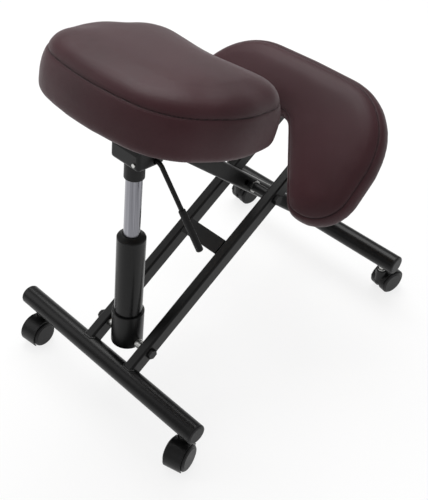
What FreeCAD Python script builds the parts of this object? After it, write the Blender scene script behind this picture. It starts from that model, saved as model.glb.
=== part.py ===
import FreeCAD, Part
import Sketcher
import math
import os

os.makedirs("parts", exist_ok=True)
document = FreeCAD.newDocument("KneelingChair")
sheet = document.addObject("Spreadsheet::Sheet", "Sizes")
nodes = {}
written_sizes = []


class Size:
    """A number together with the sheet expression it comes from."""

    def __init__(self, value, text):
        self.value = float(value)
        self.text = text

    def __add__(self, other):
        other = as_size(other)
        return Size(self.value + other.value, f"({self.text} + {other.text})")

    def __sub__(self, other):
        other = as_size(other)
        return Size(self.value - other.value, f"({self.text} - {other.text})")

    def __rsub__(self, other):
        return as_size(other) - self

    def __mul__(self, other):
        other = as_size(other)
        return Size(self.value * other.value, f"({self.text} * {other.text})")

    def __truediv__(self, other):
        other = as_size(other)
        return Size(self.value / other.value, f"({self.text} / {other.text})")

    def __neg__(self):
        return Size(-self.value, f"(0 - {self.text})")

    __radd__ = __add__
    __rmul__ = __mul__


def as_size(number):
    """Return the number as a Size."""
    if isinstance(number, Size):
        return number
    return Size(number, f"{float(number):.6f}")


def size(name, value):
    """Write one named value on the sheet and return it as a Size."""
    row = len(written_sizes) + 1
    sheet.set(f"A{row}", name)
    sheet.set(f"B{row}", str(value))
    sheet.setAlias(f"B{row}", name)
    written_sizes.append(name)
    return Size(value, f"Sizes.{name}")


def sine(angle):
    """Sine of an angle in degrees."""
    angle = as_size(angle)
    return Size(math.sin(math.radians(angle.value)), f"sin({angle.text} * 1deg)")


def cosine(angle):
    """Cosine of an angle in degrees."""
    angle = as_size(angle)
    return Size(math.cos(math.radians(angle.value)), f"cos({angle.text} * 1deg)")


# Clearances
running_fit = size("running_fit", 0.05)
seat_gap = size("seat_gap", 0.3)
open_pivot_gap = size("open_pivot_gap", 1.3)
edge_break = size("edge_break", 1)

# Cross tubes and end caps
cross_tube_diameter = size("cross_tube_diameter", 38)
cross_tube_wall = size("cross_tube_wall", 2)
cross_tube_length = size("cross_tube_length", 455)
cap_head = size("cap_head", 5)
cap_rounding = size("cap_rounding", 3)
cap_plug_length = size("cap_plug_length", 48)
cap_plug_lead = size("cap_plug_lead", 2)
rail_plug_head = size("rail_plug_head", 3)
rail_plug_length = size("rail_plug_length", 18)

# Square stock of the rails and of the seat beam
stock_width = size("stock_width", 20)
stock_depth = size("stock_depth", 30)
stock_wall = size("stock_wall", 1.5)
stock_corner = size("stock_corner", 4)

# Frame layout
rail_spacing = size("rail_spacing", 107.5)
rail_angle = size("rail_angle", 26.3)
rail_offset = size("rail_offset", 1.4)
rail_length = size("rail_length", 616)
beam_angle = size("beam_angle", 45.5)
main_pivot_along = size("main_pivot_along", 418.3)
top_pivot_along = size("top_pivot_along", 370)
lift_foot_along = size("lift_foot_along", 57.4)
brace_along = size("brace_along", 283.5)
brace_depth = size("brace_depth", 31)
brace_thickness = size("brace_thickness", 4)

# Pivot hardware
bolt_diameter = size("bolt_diameter", 10)
bolt_head_flats = size("bolt_head_flats", 17)
bolt_head_height = size("bolt_head_height", 6.4)
nut_height = size("nut_height", 8)
bolt_end = size("bolt_end", 3)
washer_diameter = size("washer_diameter", 24)
washer_thickness = size("washer_thickness", 1.6)
spacer_diameter = size("spacer_diameter", 18)
spare_hole_along = size("spare_hole_along", 31.5)

# Gas lift
cup_diameter = size("cup_diameter", 58)
cup_below = size("cup_below", 15)
cup_floor = size("cup_floor", 14)
cup_rim = size("cup_rim", 61.5)
cup_corner = size("cup_corner", 6)
lift_tube_diameter = size("lift_tube_diameter", 50)
lift_tube_wall = size("lift_tube_wall", 2)
lift_tube_top = size("lift_tube_top", 221.4)
lift_tube_floor = size("lift_tube_floor", 3)
guide_length = size("guide_length", 40)
guide_rise = size("guide_rise", 7)
guide_neck = size("guide_neck", 32)
column_diameter = size("column_diameter", 28)
column_foot = size("column_foot", 160)
column_neck = size("column_neck", 22)
column_above_floor = size("column_above_floor", 1)
collar_diameter = size("collar_diameter", 34)
collar_length = size("collar_length", 30.3)
release_pin_diameter = size("release_pin_diameter", 8)
release_pin_length = size("release_pin_length", 40)
release_pin_rise = size("release_pin_rise", 3.5)
release_pin_travel = size("release_pin_travel", 4)

# Mechanism tray
tray_floor = size("tray_floor", 370)
tray_sheet = size("tray_sheet", 3)
tray_width = size("tray_width", 66)
tray_behind = size("tray_behind", 23)
tray_front = size("tray_front", 28)
tray_rear_wall = size("tray_rear_wall", 27)
tray_front_lip = size("tray_front_lip", 7)
tray_lobe = size("tray_lobe", 13)
tray_rounding = size("tray_rounding", 6.5)

# Release lever
lever_diameter = size("lever_diameter", 8)
lever_forward = size("lever_forward", 13.5)
lever_pin_side = size("lever_pin_side", 23)
lever_pin_diameter = size("lever_pin_diameter", 4)
lever_pin_head = size("lever_pin_head", 7)
lever_pin_head_height = size("lever_pin_head_height", 2)
lever_hub_diameter = size("lever_hub_diameter", 12)
lever_hub_length = size("lever_hub_length", 12)
lever_inner_reach = size("lever_inner_reach", 10)
lever_bend_out = size("lever_bend_out", 19)
lever_bend_radius = size("lever_bend_radius", 14)
lever_out = size("lever_out", 100)
lever_down = size("lever_down", 127)
tongue_thickness = size("tongue_thickness", 3)
tongue_past_axis = size("tongue_past_axis", 6)
grip_diameter = size("grip_diameter", 12)
grip_length = size("grip_length", 70)
grip_end = size("grip_end", 4)
lever_slot_diameter = size("lever_slot_diameter", 12)

# Seat
seat_tilt = size("seat_tilt", 20)
seat_forward = size("seat_forward", 34.7)
pivot_to_plate = size("pivot_to_plate", 16.9)
plate_thickness = size("plate_thickness", 3)
plate_width = size("plate_width", 160)
plate_behind = size("plate_behind", 104)
plate_front = size("plate_front", 74)
plate_corner = size("plate_corner", 12)
board_thickness = size("board_thickness", 12)
board_inset = size("board_inset", 14)
seat_side_height = size("seat_side_height", 67)
seat_crown = size("seat_crown", 27)
seat_bulge = size("seat_bulge", 7.5)
gusset_thickness = size("gusset_thickness", 4)
gusset_start = size("gusset_start", 14)
gusset_on_plate = size("gusset_on_plate", 95)
gusset_on_beam = size("gusset_on_beam", 78)
screw_diameter = size("screw_diameter", 6)
screw_head_diameter = size("screw_head_diameter", 12)
screw_head_height = size("screw_head_height", 3)
screw_grip = size("screw_grip", 9)
seat_screw_side = size("seat_screw_side", 62)
seat_screw_rear = size("seat_screw_rear", 88)
seat_screw_front = size("seat_screw_front", 56)

# Knee pad
knee_tilt = size("knee_tilt", 37.6)
knee_from_rail_end = size("knee_from_rail_end", 76.8)
knee_above = size("knee_above", 44.1)
knee_side_height = size("knee_side_height", 37)
knee_crown = size("knee_crown", 18)
knee_bulge = size("knee_bulge", 10)
bracket_from_rail_end = size("bracket_from_rail_end", 81)
bracket_length = size("bracket_length", 75)
bracket_sheet = size("bracket_sheet", 2.5)
knee_screw_rear = size("knee_screw_rear", 14)
knee_screw_front = size("knee_screw_front", 54)

# Casters
wheel_diameter = size("wheel_diameter", 50)
wheel_width = size("wheel_width", 18)
wheel_inner_face = size("wheel_inner_face", 3.5)
wheel_rim = size("wheel_rim", 2)
wheel_disc_inset = size("wheel_disc_inset", 5)
wheel_disc_edge = size("wheel_disc_edge", 3.5)
axle_cover = size("axle_cover", 4)
axle_diameter = size("axle_diameter", 6)
hood_diameter = size("hood_diameter", 57)
hood_width = size("hood_width", 34)
hood_clearance = size("hood_clearance", 0.8)
hood_web = size("hood_web", 6)
hood_rear_height = size("hood_rear_height", 12)
hood_front_height = size("hood_front_height", 32)
hood_front_cut = size("hood_front_cut", 9)
hood_top = size("hood_top", 60)
boss_diameter = size("boss_diameter", 23)
stem_diameter = size("stem_diameter", 10)
stem_foot = size("stem_foot", 44.5)
stem_above_axis = size("stem_above_axis", 11.8)
stem_neck = size("stem_neck", 11.2)
stem_flange_diameter = size("stem_flange_diameter", 19)
stem_flange_height = size("stem_flange_height", 3)
stem_shoulder = size("stem_shoulder", 2)
stem_trail = size("stem_trail", 18)
stem_inset = size("stem_inset", 27.5)
screw_rounding = size("screw_rounding", 1.5)

document.recompute()

# Places that follow from these sizes
cross_tube_height = hood_top + stem_neck + cross_tube_diameter / 2
stem_top = cross_tube_height + stem_above_axis
stem_side = cross_tube_length / 2 - stem_inset
collar_foot = tray_floor - collar_length
bracket_start = rail_length - bracket_from_rail_end
knee_along = rail_length - knee_from_rail_end

# Cushion outlines: corner places with their radii, from the front middle round to the rear middle
seat_corners = [
    (0, 112.4, 210),
    (150.5, 135.9, 67),
    (178.7, -7.3, 171),
    (141.7, -132, 100),
    (0, -161.6, 380),
]
knee_corners = [
    (0, 117.3, 305),
    (189.9, 113.3, 127),
    (214.1, -8.4, 94),
    (213.8, -135.2, 66),
    (123.2, -134.9, 34),
    (0, 41, 38),
]


def vector(x, y, z):
    """Vector from plain numbers or sizes."""
    return FreeCAD.Vector(as_size(x).value, as_size(y).value, as_size(z).value)


def about_x(angle):
    """Rotation about the X axis by an angle in degrees."""
    return FreeCAD.Rotation(FreeCAD.Vector(1, 0, 0), as_size(angle).value)


def origin_plane(body, role):
    """Origin plane of a body by its role."""
    for feature in body.Origin.OriginFeatures:
        if feature.Role == role:
            return feature
    return None


def new_body(name):
    """New part design body."""
    return document.addObject("PartDesign::Body", name)


def new_sketch(body, role):
    """Sketch on one of the origin planes of a body."""
    sketch = body.newObject("Sketcher::SketchObject", body.Name + "_sketch")
    sketch.AttachmentSupport = [(origin_plane(body, role), "")]
    sketch.MapMode = "FlatFace"
    return sketch


def pin_point(sketch, geometry, place, x, y):
    """Tie one point of the sketch to the sheet, measured from the sketch origin."""
    for kind, number, axis in (("DistanceX", as_size(x), -2), ("DistanceY", as_size(y), -1)):
        if abs(number.value) < 1e-9:
            sketch.addConstraint(Sketcher.Constraint("PointOnObject", geometry, place, axis))
        else:
            index = sketch.addConstraint(Sketcher.Constraint(kind, -1, 1, geometry, place, number.value))
            sketch.setExpression(f"Constraints[{index}]", number.text)


def add_polygon(sketch, corners, closed=True):
    """Polygon through corners whose places come from the sheet."""
    first = sketch.GeometryCount
    count = len(corners)
    lines = count if closed else count - 1
    for index in range(lines):
        start = corners[index]
        end = corners[(index + 1) % count]
        sketch.addGeometry(Part.LineSegment(vector(*start, 0), vector(*end, 0)), False)
    for index in range(lines if closed else lines - 1):
        following = (index + 1) % count
        sketch.addConstraint(Sketcher.Constraint("Coincident", first + index, 2, first + following, 1))
    for index, (x, y) in enumerate(corners):
        if index < lines:
            pin_point(sketch, first + index, 1, x, y)
        else:
            pin_point(sketch, first + index - 1, 2, x, y)


def add_circle(sketch, diameter, x=0, y=0):
    """Circle whose diameter and centre come from the sheet."""
    diameter = as_size(diameter)
    shape = Part.Circle(vector(x, y, 0), FreeCAD.Vector(0, 0, 1), diameter.value / 2)
    geometry = sketch.addGeometry(shape, False)
    index = sketch.addConstraint(Sketcher.Constraint("Diameter", geometry, diameter.value))
    sketch.setExpression(f"Constraints[{index}]", diameter.text)
    pin_point(sketch, geometry, 3, x, y)


def rectangle(width, depth, x=0, y=0):
    """Corners of a rectangle about a centre."""
    half_width = as_size(width) / 2
    half_depth = as_size(depth) / 2
    return [
        (x - half_width, y - half_depth),
        (x + half_width, y - half_depth),
        (x + half_width, y + half_depth),
        (x - half_width, y + half_depth),
    ]


def hexagon(flats):
    """Corners of a hexagon from its width across flats."""
    radius = flats / math.sqrt(3)
    corners = []
    for step in range(6):
        angle = math.radians(60 * step)
        corners.append((radius * math.cos(angle), radius * math.sin(angle)))
    return corners


def drive(feature, name, number):
    """Bind one property of a feature to the sheet."""
    number = as_size(number)
    setattr(feature, name, number.value)
    feature.setExpression(name, number.text)


def pad(body, sketch, length, both_sides=False, backwards=False):
    """Pad of a sketch."""
    feature = body.newObject("PartDesign::Pad", body.Name + "_pad")
    feature.Profile = sketch
    drive(feature, "Length", length)
    feature.SideType = "Symmetric" if both_sides else "One side"
    feature.Reversed = backwards
    return feature


def pocket(body, sketch, length, both_sides=False, backwards=False):
    """Pocket of a sketch, checked to take material away."""
    document.recompute()
    before = body.Shape.Volume
    feature = body.newObject("PartDesign::Pocket", body.Name + "_pocket")
    feature.Profile = sketch
    drive(feature, "Length", length)
    feature.SideType = "Symmetric" if both_sides else "One side"
    feature.Reversed = backwards
    document.recompute()
    if body.Shape.Volume > before - 1e-3:
        raise RuntimeError(f"{body.Name}: pocket takes nothing away")
    return feature


def revolve(body, corners):
    """Body turned about its Z axis from corners given as radius and height."""
    sketch = new_sketch(body, "XZ_Plane")
    add_polygon(sketch, corners)
    feature = body.newObject("PartDesign::Revolution", body.Name + "_turn")
    feature.Profile = sketch
    feature.ReferenceAxis = (sketch, ["V_Axis"])
    feature.Angle = 360
    return feature


def dress(body, kind, radius, chosen):
    """Fillet or chamfer on the edges that a test chooses."""
    document.recompute()
    base = body.Tip
    names = [f"Edge{index + 1}" for index, edge in enumerate(base.Shape.Edges) if chosen(edge)]
    if not names:
        raise RuntimeError(f"{body.Name}: no edges to dress")
    feature = body.newObject("PartDesign::" + kind, body.Name + "_" + kind.lower())
    feature.Base = (base, names)
    drive(feature, "Radius" if kind == "Fillet" else "Size", radius)
    document.recompute()
    return feature


def straight_along(edge, axis):
    """True when an edge is a straight line along an axis."""
    if edge.Curve.TypeId != "Part::GeomLine":
        return False
    return abs(abs(edge.Curve.Direction.dot(axis)) - 1) < 1e-6


def upright_edge(edge):
    """True when an edge is a straight line along Z."""
    return straight_along(edge, FreeCAD.Vector(0, 0, 1))


def finish(name, item, base=FreeCAD.Vector(), rotation=FreeCAD.Rotation()):
    """Name a sub-part, place it and list it for export."""
    item.Label = name
    item.Placement = FreeCAD.Placement(base, rotation)
    nodes[name] = item
    return item


def together(name, items, base=FreeCAD.Vector(), rotation=FreeCAD.Rotation()):
    """Several equal pieces as one sub-part."""
    compound = document.addObject("Part::Compound", name)
    compound.Links = items
    for item in items:
        item.Visibility = False
    return finish(name, compound, base, rotation)


def tube_ring(name, outer, inner, length, both_sides=False):
    """Ring or sleeve along Z."""
    body = new_body(name)
    sketch = new_sketch(body, "XY_Plane")
    add_circle(sketch, outer)
    add_circle(sketch, inner)
    pad(body, sketch, length, both_sides)
    return body


def drill(body, role, diameter, depth, x=0, y=0, both_sides=True, backwards=False):
    """Round hole from an origin plane."""
    sketch = new_sketch(body, role)
    add_circle(sketch, diameter, x, y)
    return pocket(body, sketch, depth, both_sides, backwards)


# Layout points in the side plane: x 0, y towards the rear, z up, rear tube axis at y 0
rail_direction = (-cosine(rail_angle), sine(rail_angle))
rail_normal = (sine(rail_angle), cosine(rail_angle))
rail_foot = (rail_offset * sine(rail_angle), cross_tube_height + rail_offset * cosine(rail_angle))


def on_rail(along, above=0):
    """Point of the side plane from its place along and above the rail centre line."""
    y = rail_foot[0] + rail_direction[0] * along + rail_normal[0] * above
    z = rail_foot[1] + rail_direction[1] * along + rail_normal[1] * above
    return y, z


main_pivot = on_rail(main_pivot_along)
lift_foot = on_rail(lift_foot_along)
beam_below = (main_pivot[1] - cross_tube_height) / sine(beam_angle)
front_axis_y = main_pivot[0] - beam_below * cosine(beam_angle)
top_pivot = (
    main_pivot[0] + top_pivot_along * cosine(beam_angle),
    main_pivot[1] + top_pivot_along * sine(beam_angle),
)
lift_run = lift_foot[0].value - top_pivot[0].value
lift_climb = top_pivot[1].value - lift_foot[1].value
lift_lean = math.degrees(math.atan2(lift_run, lift_climb))
lift_reach = math.hypot(lift_run, lift_climb)
rail_turn = about_x(90 - rail_angle)
beam_turn = about_x(beam_angle - 90)
lift_turn = about_x(lift_lean)
seat_turn = about_x(seat_tilt)
knee_turn = about_x(-knee_tilt)
lengthwise_x = FreeCAD.Rotation(FreeCAD.Vector(0, 1, 0), 90)
lift_origin = vector(0, lift_foot[0], lift_foot[1])
rail_origin = vector(0, rail_foot[0], rail_foot[1])
main_point = vector(0, main_pivot[0], main_pivot[1])
top_point = vector(0, top_pivot[0], top_pivot[1])
front_point = vector(0, front_axis_y, cross_tube_height)
rear_point = vector(0, 0, cross_tube_height)
bolt_hole = bolt_diameter + running_fit * 2
stem_hole = stem_diameter + running_fit * 2
no_turn = FreeCAD.Rotation()
wheel_axle_height = wheel_diameter / 2


def cross_tube(name, centre):
    """Round tube across the chair with a stem hole near each end."""
    inner_diameter = cross_tube_diameter - cross_tube_wall * 2
    body = tube_ring(name, cross_tube_diameter, inner_diameter, cross_tube_length, True)
    for side in (-1, 1):
        place = stem_side * side
        drill(body, "YZ_Plane", stem_hole, cross_tube_diameter, 0, place, False, True)
    finish(name, body, centre, lengthwise_x)


cross_tube("rear_cross_tube", rear_point)
cross_tube("front_cross_tube", front_point)


def end_caps(name, centre):
    """Pair of plugs with round heads that close a cross tube and hold the stems."""
    caps = []
    for side in (-1, 1):
        body = new_body(f"{name}_{'right' if side < 0 else 'left'}")
        plug_radius = cross_tube_diameter / 2 - cross_tube_wall - running_fit
        head_radius = cross_tube_diameter / 2
        revolve(
            body,
            [
                (0, -cap_plug_length),
                (plug_radius - cap_plug_lead, -cap_plug_length),
                (plug_radius, cap_plug_lead - cap_plug_length),
                (plug_radius, 0),
                (head_radius, 0),
                (head_radius, cap_head - cap_rounding),
                (head_radius - cap_rounding * 0.3, cap_head - cap_rounding * 0.4),
                (head_radius - cap_rounding * 1.3, cap_head),
                (0, cap_head),
            ],
        )
        depth = cross_tube_length / 2 - stem_side
        drill(body, "YZ_Plane", stem_hole, cross_tube_diameter, 0, -depth, True)
        turn = FreeCAD.Rotation(FreeCAD.Vector(0, 1, 0), 90 * side)
        body.Placement = FreeCAD.Placement(vector(cross_tube_length / 2 * side, 0, 0), turn)
        caps.append(body)
    together(name, caps, centre)


end_caps("rear_end_caps", rear_point)
end_caps("front_end_caps", front_point)


def box_tube(name, lower, upper):
    """Rectangular tube along Z between two heights."""
    body = new_body(name)
    sketch = new_sketch(body, "YZ_Plane")
    half = stock_depth / 2
    add_polygon(sketch, [(-half, lower[0]), (half, lower[1]), (half, upper[1]), (-half, upper[0])])
    pad(body, sketch, stock_width, True)
    dress(body, "Fillet", stock_corner, upright_edge)
    inner = half - stock_wall
    sketch = new_sketch(body, "YZ_Plane")
    below = -stock_depth * 2
    above = upper[0] + stock_depth * 6
    add_polygon(sketch, [(-inner, below), (inner, below), (inner, above), (-inner, above)])
    pocket(body, sketch, stock_width - stock_wall * 2, True)
    return body


def round_seat(name, body, offset):
    """Cut the end of a tube to the round cross tube it is welded to."""
    tool = document.addObject("Part::Cylinder", name + "_seat")
    drive(tool, "Radius", cross_tube_diameter / 2)
    drive(tool, "Height", stock_width * 4)
    tool.Placement = FreeCAD.Placement(vector(-stock_width * 2, -offset, 0), lengthwise_x)
    cut = document.addObject("Part::Cut", name + "_welded")
    cut.Base = body
    cut.Tool = tool
    return cut


for side_name, side in (("right", -1), ("left", 1)):
    rail = box_tube(f"rail_tube_{side_name}", (0, 0), (rail_length, rail_length))
    for along in (main_pivot_along, lift_foot_along):
        drill(rail, "YZ_Plane", bolt_hole, stock_width * 2, 0, along)
    welded = round_seat(f"rail_{side_name}", rail, rail_offset)
    finish(f"rail_{side_name}", welded, rail_origin + vector(rail_spacing / 2 * side, 0, 0), rail_turn)

plugs = []
for side_name, side in (("right", -1), ("left", 1)):
    plug = new_body(f"rail_plug_{side_name}")
    outline = new_sketch(plug, "XY_Plane")
    add_polygon(outline, rectangle(stock_width, stock_depth))
    pad(plug, outline, rail_plug_head)
    dress(plug, "Fillet", stock_corner, upright_edge)
    outline = new_sketch(plug, "XY_Plane")
    inner_width = stock_width - stock_wall * 2 - running_fit * 2
    add_polygon(outline, rectangle(inner_width, stock_depth - stock_wall * 2 - running_fit * 2))
    pad(plug, outline, rail_plug_length, False, True)
    plug.Placement.Base = vector(rail_spacing / 2 * side, 0, rail_length)
    plugs.append(plug)
together("rail_plugs", plugs, rail_origin, rail_turn)

brace = new_body("rail_brace")
outline = new_sketch(brace, "XY_Plane")
brace_span = rail_spacing - stock_width
add_polygon(outline, rectangle(brace_span, brace_thickness, 0, stock_depth / 2 - brace_thickness / 2))
pad(brace, outline, brace_depth, True)
place = on_rail(brace_along)
finish("rail_brace", brace, vector(0, place[0], place[1]), rail_turn)

# Seat beam, origin on the front tube axis, Z up along the beam
top_along = beam_below + top_pivot_along
end_lean = beam_angle - seat_tilt
end_middle = top_along + pivot_to_plate / sine(end_lean)
end_step = stock_depth / 2 * cosine(end_lean) / sine(end_lean)
beam = box_tube("seat_beam_tube", (0, 0), (end_middle - end_step, end_middle + end_step))
drill(beam, "YZ_Plane", bolt_hole, stock_width * 2, 0, beam_below)
drill(beam, "YZ_Plane", bolt_hole, stock_width * 2, 0, beam_below + spare_hole_along)
drill(beam, "YZ_Plane", bolt_diameter + open_pivot_gap * 2, stock_width * 2, 0, top_along)
finish("seat_beam", round_seat("seat_beam", beam, 0), front_point, beam_turn)


def hex_bolt(name, length):
    """Hexagon bolt along Z with the underside of its head at z 0."""
    body = new_body(name)
    sketch = new_sketch(body, "XY_Plane")
    add_polygon(sketch, hexagon(bolt_head_flats))
    pad(body, sketch, bolt_head_height)
    sketch = new_sketch(body, "XY_Plane")
    add_circle(sketch, bolt_diameter)
    pad(body, sketch, length, False, True)
    return body


def hex_nut(name):
    """Hexagon nut along Z from z 0."""
    body = new_body(name)
    sketch = new_sketch(body, "XY_Plane")
    add_polygon(sketch, hexagon(bolt_head_flats))
    add_circle(sketch, bolt_diameter)
    pad(body, sketch, nut_height)
    return body


def across(name, point, half_span):
    """Bolt and nut across the chair, head on the right, nut on the left."""
    grip = half_span * 2
    bolt = hex_bolt(f"{name}_bolt", grip + nut_height + bolt_end)
    turn = FreeCAD.Rotation(FreeCAD.Vector(0, 1, 0), -90)
    finish(f"{name}_bolt", bolt, point + vector(-half_span, 0, 0), turn)
    nut = hex_nut(f"{name}_nut")
    finish(f"{name}_nut", nut, point + vector(half_span, 0, 0), lengthwise_x)


def sleeves(name, point, outer, start, end):
    """Pair of sleeves on a cross bolt, one each side of the middle."""
    pieces = []
    for side_name, side in (("right", -1), ("left", 1)):
        piece = tube_ring(f"{name}_{side_name}", outer, bolt_hole, end - start)
        turn = FreeCAD.Rotation(FreeCAD.Vector(0, 1, 0), 90 * side)
        piece.Placement = FreeCAD.Placement(vector(start * side, 0, 0), turn)
        pieces.append(piece)
    together(name, pieces, point)


rail_outer_face = (rail_spacing + stock_width) / 2
rail_inner_face = (rail_spacing - stock_width) / 2
beam_side = stock_width / 2 + seat_gap
cup_side = cup_diameter / 2 + seat_gap
tray_inside = tray_width / 2 - tray_sheet
across("main_pivot", main_point, rail_outer_face)
sleeves("main_pivot_washers", main_point, washer_diameter, beam_side, beam_side + washer_thickness)
sleeves("main_pivot_spacers", main_point, spacer_diameter, beam_side + washer_thickness, rail_inner_face)
across("lift_foot", lift_origin, rail_outer_face)
sleeves("lift_foot_spacers", lift_origin, spacer_diameter, cup_side, rail_inner_face)
across("top_pivot", top_point, tray_width / 2)
sleeves("top_pivot_spacers", top_point, spacer_diameter, beam_side, tray_inside)

# Gas lift, origin on the foot bolt, Z up along the lift
cup = new_body("lift_cup")
cup_radius = cup_diameter / 2
tube_radius = lift_tube_diameter / 2
revolve(
    cup,
    [
        (0, -cup_below),
        (cup_radius - cup_corner, -cup_below),
        (cup_radius, cup_corner - cup_below),
        (cup_radius, cup_rim - edge_break),
        (cup_radius - edge_break, cup_rim),
        (tube_radius + running_fit, cup_rim),
        (tube_radius + running_fit, cup_floor),
        (0, cup_floor),
    ],
)
drill(cup, "YZ_Plane", bolt_hole, cup_diameter * 2)
finish("lift_cup", cup, lift_origin, lift_turn)

lift_tube = new_body("lift_tube")
tube_inner = tube_radius - lift_tube_wall
revolve(
    lift_tube,
    [
        (0, cup_floor),
        (tube_radius, cup_floor),
        (tube_radius, lift_tube_top),
        (tube_inner, lift_tube_top),
        (tube_inner, cup_floor + lift_tube_floor),
        (0, cup_floor + lift_tube_floor),
    ],
)
finish("lift_tube", lift_tube, lift_origin, lift_turn)

guide = new_body("lift_guide")
column_bore = column_diameter / 2 + running_fit
guide_radius = guide_neck / 2
revolve(
    guide,
    [
        (column_bore, lift_tube_top - guide_length),
        (tube_inner - running_fit, lift_tube_top - guide_length),
        (tube_inner - running_fit, lift_tube_top),
        (tube_radius, lift_tube_top),
        (tube_radius - edge_break, lift_tube_top + edge_break * 2),
        (guide_radius + edge_break, lift_tube_top + guide_rise - edge_break),
        (guide_radius, lift_tube_top + guide_rise),
        (column_bore, lift_tube_top + guide_rise),
    ],
)
finish("lift_guide", guide, lift_origin, lift_turn)

column = new_body("lift_column")
column_radius = column_diameter / 2
neck_radius = column_neck / 2
column_top = tray_floor + tray_sheet + column_above_floor
pin_radius = release_pin_diameter / 2
pin_top = column_top + release_pin_rise
pin_foot = pin_top - release_pin_length
pin_well = pin_foot - release_pin_travel
revolve(
    column,
    [
        (0, column_foot),
        (column_radius - edge_break, column_foot),
        (column_radius, column_foot + edge_break),
        (column_radius, tray_floor),
        (neck_radius, tray_floor),
        (neck_radius, column_top - edge_break),
        (neck_radius - edge_break, column_top),
        (pin_radius + running_fit, column_top),
        (pin_radius + running_fit, pin_well),
        (0, pin_well),
    ],
)
finish("lift_column", column, lift_origin, lift_turn)

collar = new_body("lift_collar")
collar_radius = collar_diameter / 2
revolve(
    collar,
    [
        (column_bore, collar_foot),
        (collar_radius - edge_break, collar_foot),
        (collar_radius, collar_foot + edge_break),
        (collar_radius, tray_floor),
        (column_bore, tray_floor),
    ],
)
finish("lift_collar", collar, lift_origin, lift_turn)

release_pin = new_body("release_pin")
revolve(
    release_pin,
    [
        (0, pin_foot),
        (pin_radius, pin_foot),
        (pin_radius, pin_top - edge_break),
        (pin_radius - edge_break, pin_top),
        (0, pin_top),
    ],
)
finish("release_pin", release_pin, lift_origin, lift_turn)

# Mechanism tray: folded sheet with a floor, a rear wall, a front lip and two cheeks
tray = new_body("lift_tray")
pivot_height = lift_reach
lobe_side = tray_lobe * math.cos(math.radians(25))
lobe_rise = tray_lobe * math.sin(math.radians(25))
floor_top = tray_floor + tray_sheet
cheek = [
    (-tray_front, tray_floor),
    (-tray_front, tray_floor + tray_front_lip),
    (-lobe_side, pivot_height + lobe_rise),
    (-tray_lobe / 2, pivot_height + tray_lobe * math.cos(math.radians(30))),
    (tray_lobe / 2, pivot_height + tray_lobe * math.cos(math.radians(30))),
    (lobe_side, pivot_height + lobe_rise),
    (tray_behind, tray_floor + tray_rear_wall),
    (tray_behind, tray_floor),
]
outline = new_sketch(tray, "YZ_Plane")
add_polygon(outline, cheek)
pad(tray, outline, tray_width, True)


def tray_bend(edge):
    """True for the tray's lower edges and the upright edges of its rear wall."""
    ends = [vertex.Point for vertex in edge.Vertexes]
    low = all(abs(point.z - tray_floor.value) < 0.01 for point in ends)
    rear = all(abs(point.y - tray_behind.value) < 0.01 for point in ends)
    return low or (rear and upright_edge(edge))


dress(tray, "Fillet", tray_rounding, tray_bend)
outline = new_sketch(tray, "YZ_Plane")
inside_front = tray_sheet - tray_front
inside_rear = tray_behind - tray_sheet
over_top = pivot_height + tray_lobe * 3
add_polygon(
    outline,
    [(inside_front, floor_top), (inside_rear, floor_top), (inside_rear, over_top), (inside_front, over_top)],
)
pocket(tray, outline, tray_inside * 2, True)
drill(tray, "XY_Plane", column_neck + running_fit * 2, pivot_height * 2)
drill(tray, "YZ_Plane", bolt_hole, tray_width * 2, 0, pivot_height)
lever_height = pin_top + seat_gap + lever_diameter / 2 - edge_break
slot = new_sketch(tray, "YZ_Plane")
add_circle(slot, lever_slot_diameter, -lever_forward, lever_height)
pocket(tray, slot, tray_width, False, False)
lever_pin_hole = lever_pin_diameter + running_fit * 2
drill(tray, "XZ_Plane", lever_pin_hole, tray_behind * 4, -lever_pin_side, lever_height)
finish("lift_tray", tray, lift_origin, lift_turn)

lever_pin = new_body("lever_pin")
outline = new_sketch(lever_pin, "XZ_Plane")
add_circle(outline, lever_pin_diameter)
pad(lever_pin, outline, tray_front + edge_break)
outline = new_sketch(lever_pin, "XZ_Plane")
add_circle(outline, lever_pin_diameter)
pad(lever_pin, outline, tray_behind, False, True)
rivet = new_sketch(lever_pin, "XZ_Plane")
rivet.AttachmentOffset = FreeCAD.Placement(vector(0, 0, -tray_behind), no_turn)
add_circle(rivet, lever_pin_head)
pad(lever_pin, rivet, lever_pin_head_height, False, True)
rivet = new_sketch(lever_pin, "XZ_Plane")
rivet.AttachmentOffset = FreeCAD.Placement(vector(0, 0, tray_front), no_turn)
add_circle(rivet, lever_pin_head)
pad(lever_pin, rivet, lever_pin_head_height)
lever_place = lift_origin + lift_turn.multVec(vector(-lever_pin_side, 0, lever_height))
finish("lever_pin", lever_pin, lever_place, lift_turn)

# Lever, origin on its hinge pin, hanging in an upright plane across the chair
lever = new_body("lever_rod")
hub = new_sketch(lever, "XZ_Plane")
hub_start = lever_forward - lever_hub_length / 2
hub.AttachmentOffset = FreeCAD.Placement(vector(0, 0, hub_start), no_turn)
add_circle(hub, lever_hub_diameter)
pad(lever, hub, lever_hub_length)
tongue = new_sketch(lever, "YZ_Plane")
tongue_under = seat_gap + pin_top - lever_height
add_polygon(
    tongue,
    [
        (-lever_forward - lever_diameter / 2, tongue_under),
        (tongue_past_axis, tongue_under),
        (tongue_past_axis, tongue_under + tongue_thickness),
        (-lever_forward - lever_diameter / 2, tongue_under + tongue_thickness),
    ],
)
pad(lever, tongue, lever_pin_side + tongue_past_axis)
upright = FreeCAD.Rotation(FreeCAD.Vector(1, 0, 0), -lift_lean)
bend_x = lever_bend_out
slope = math.degrees(math.atan2(lever_down.value, (lever_out - bend_x).value))
bend_reach = lever_bend_radius * math.tan(math.radians(slope / 2))
path = new_sketch(lever, "XZ_Plane")
path.AttachmentOffset = FreeCAD.Placement(vector(0, 0, lever_forward), upright)
fall = math.radians(slope)
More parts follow.
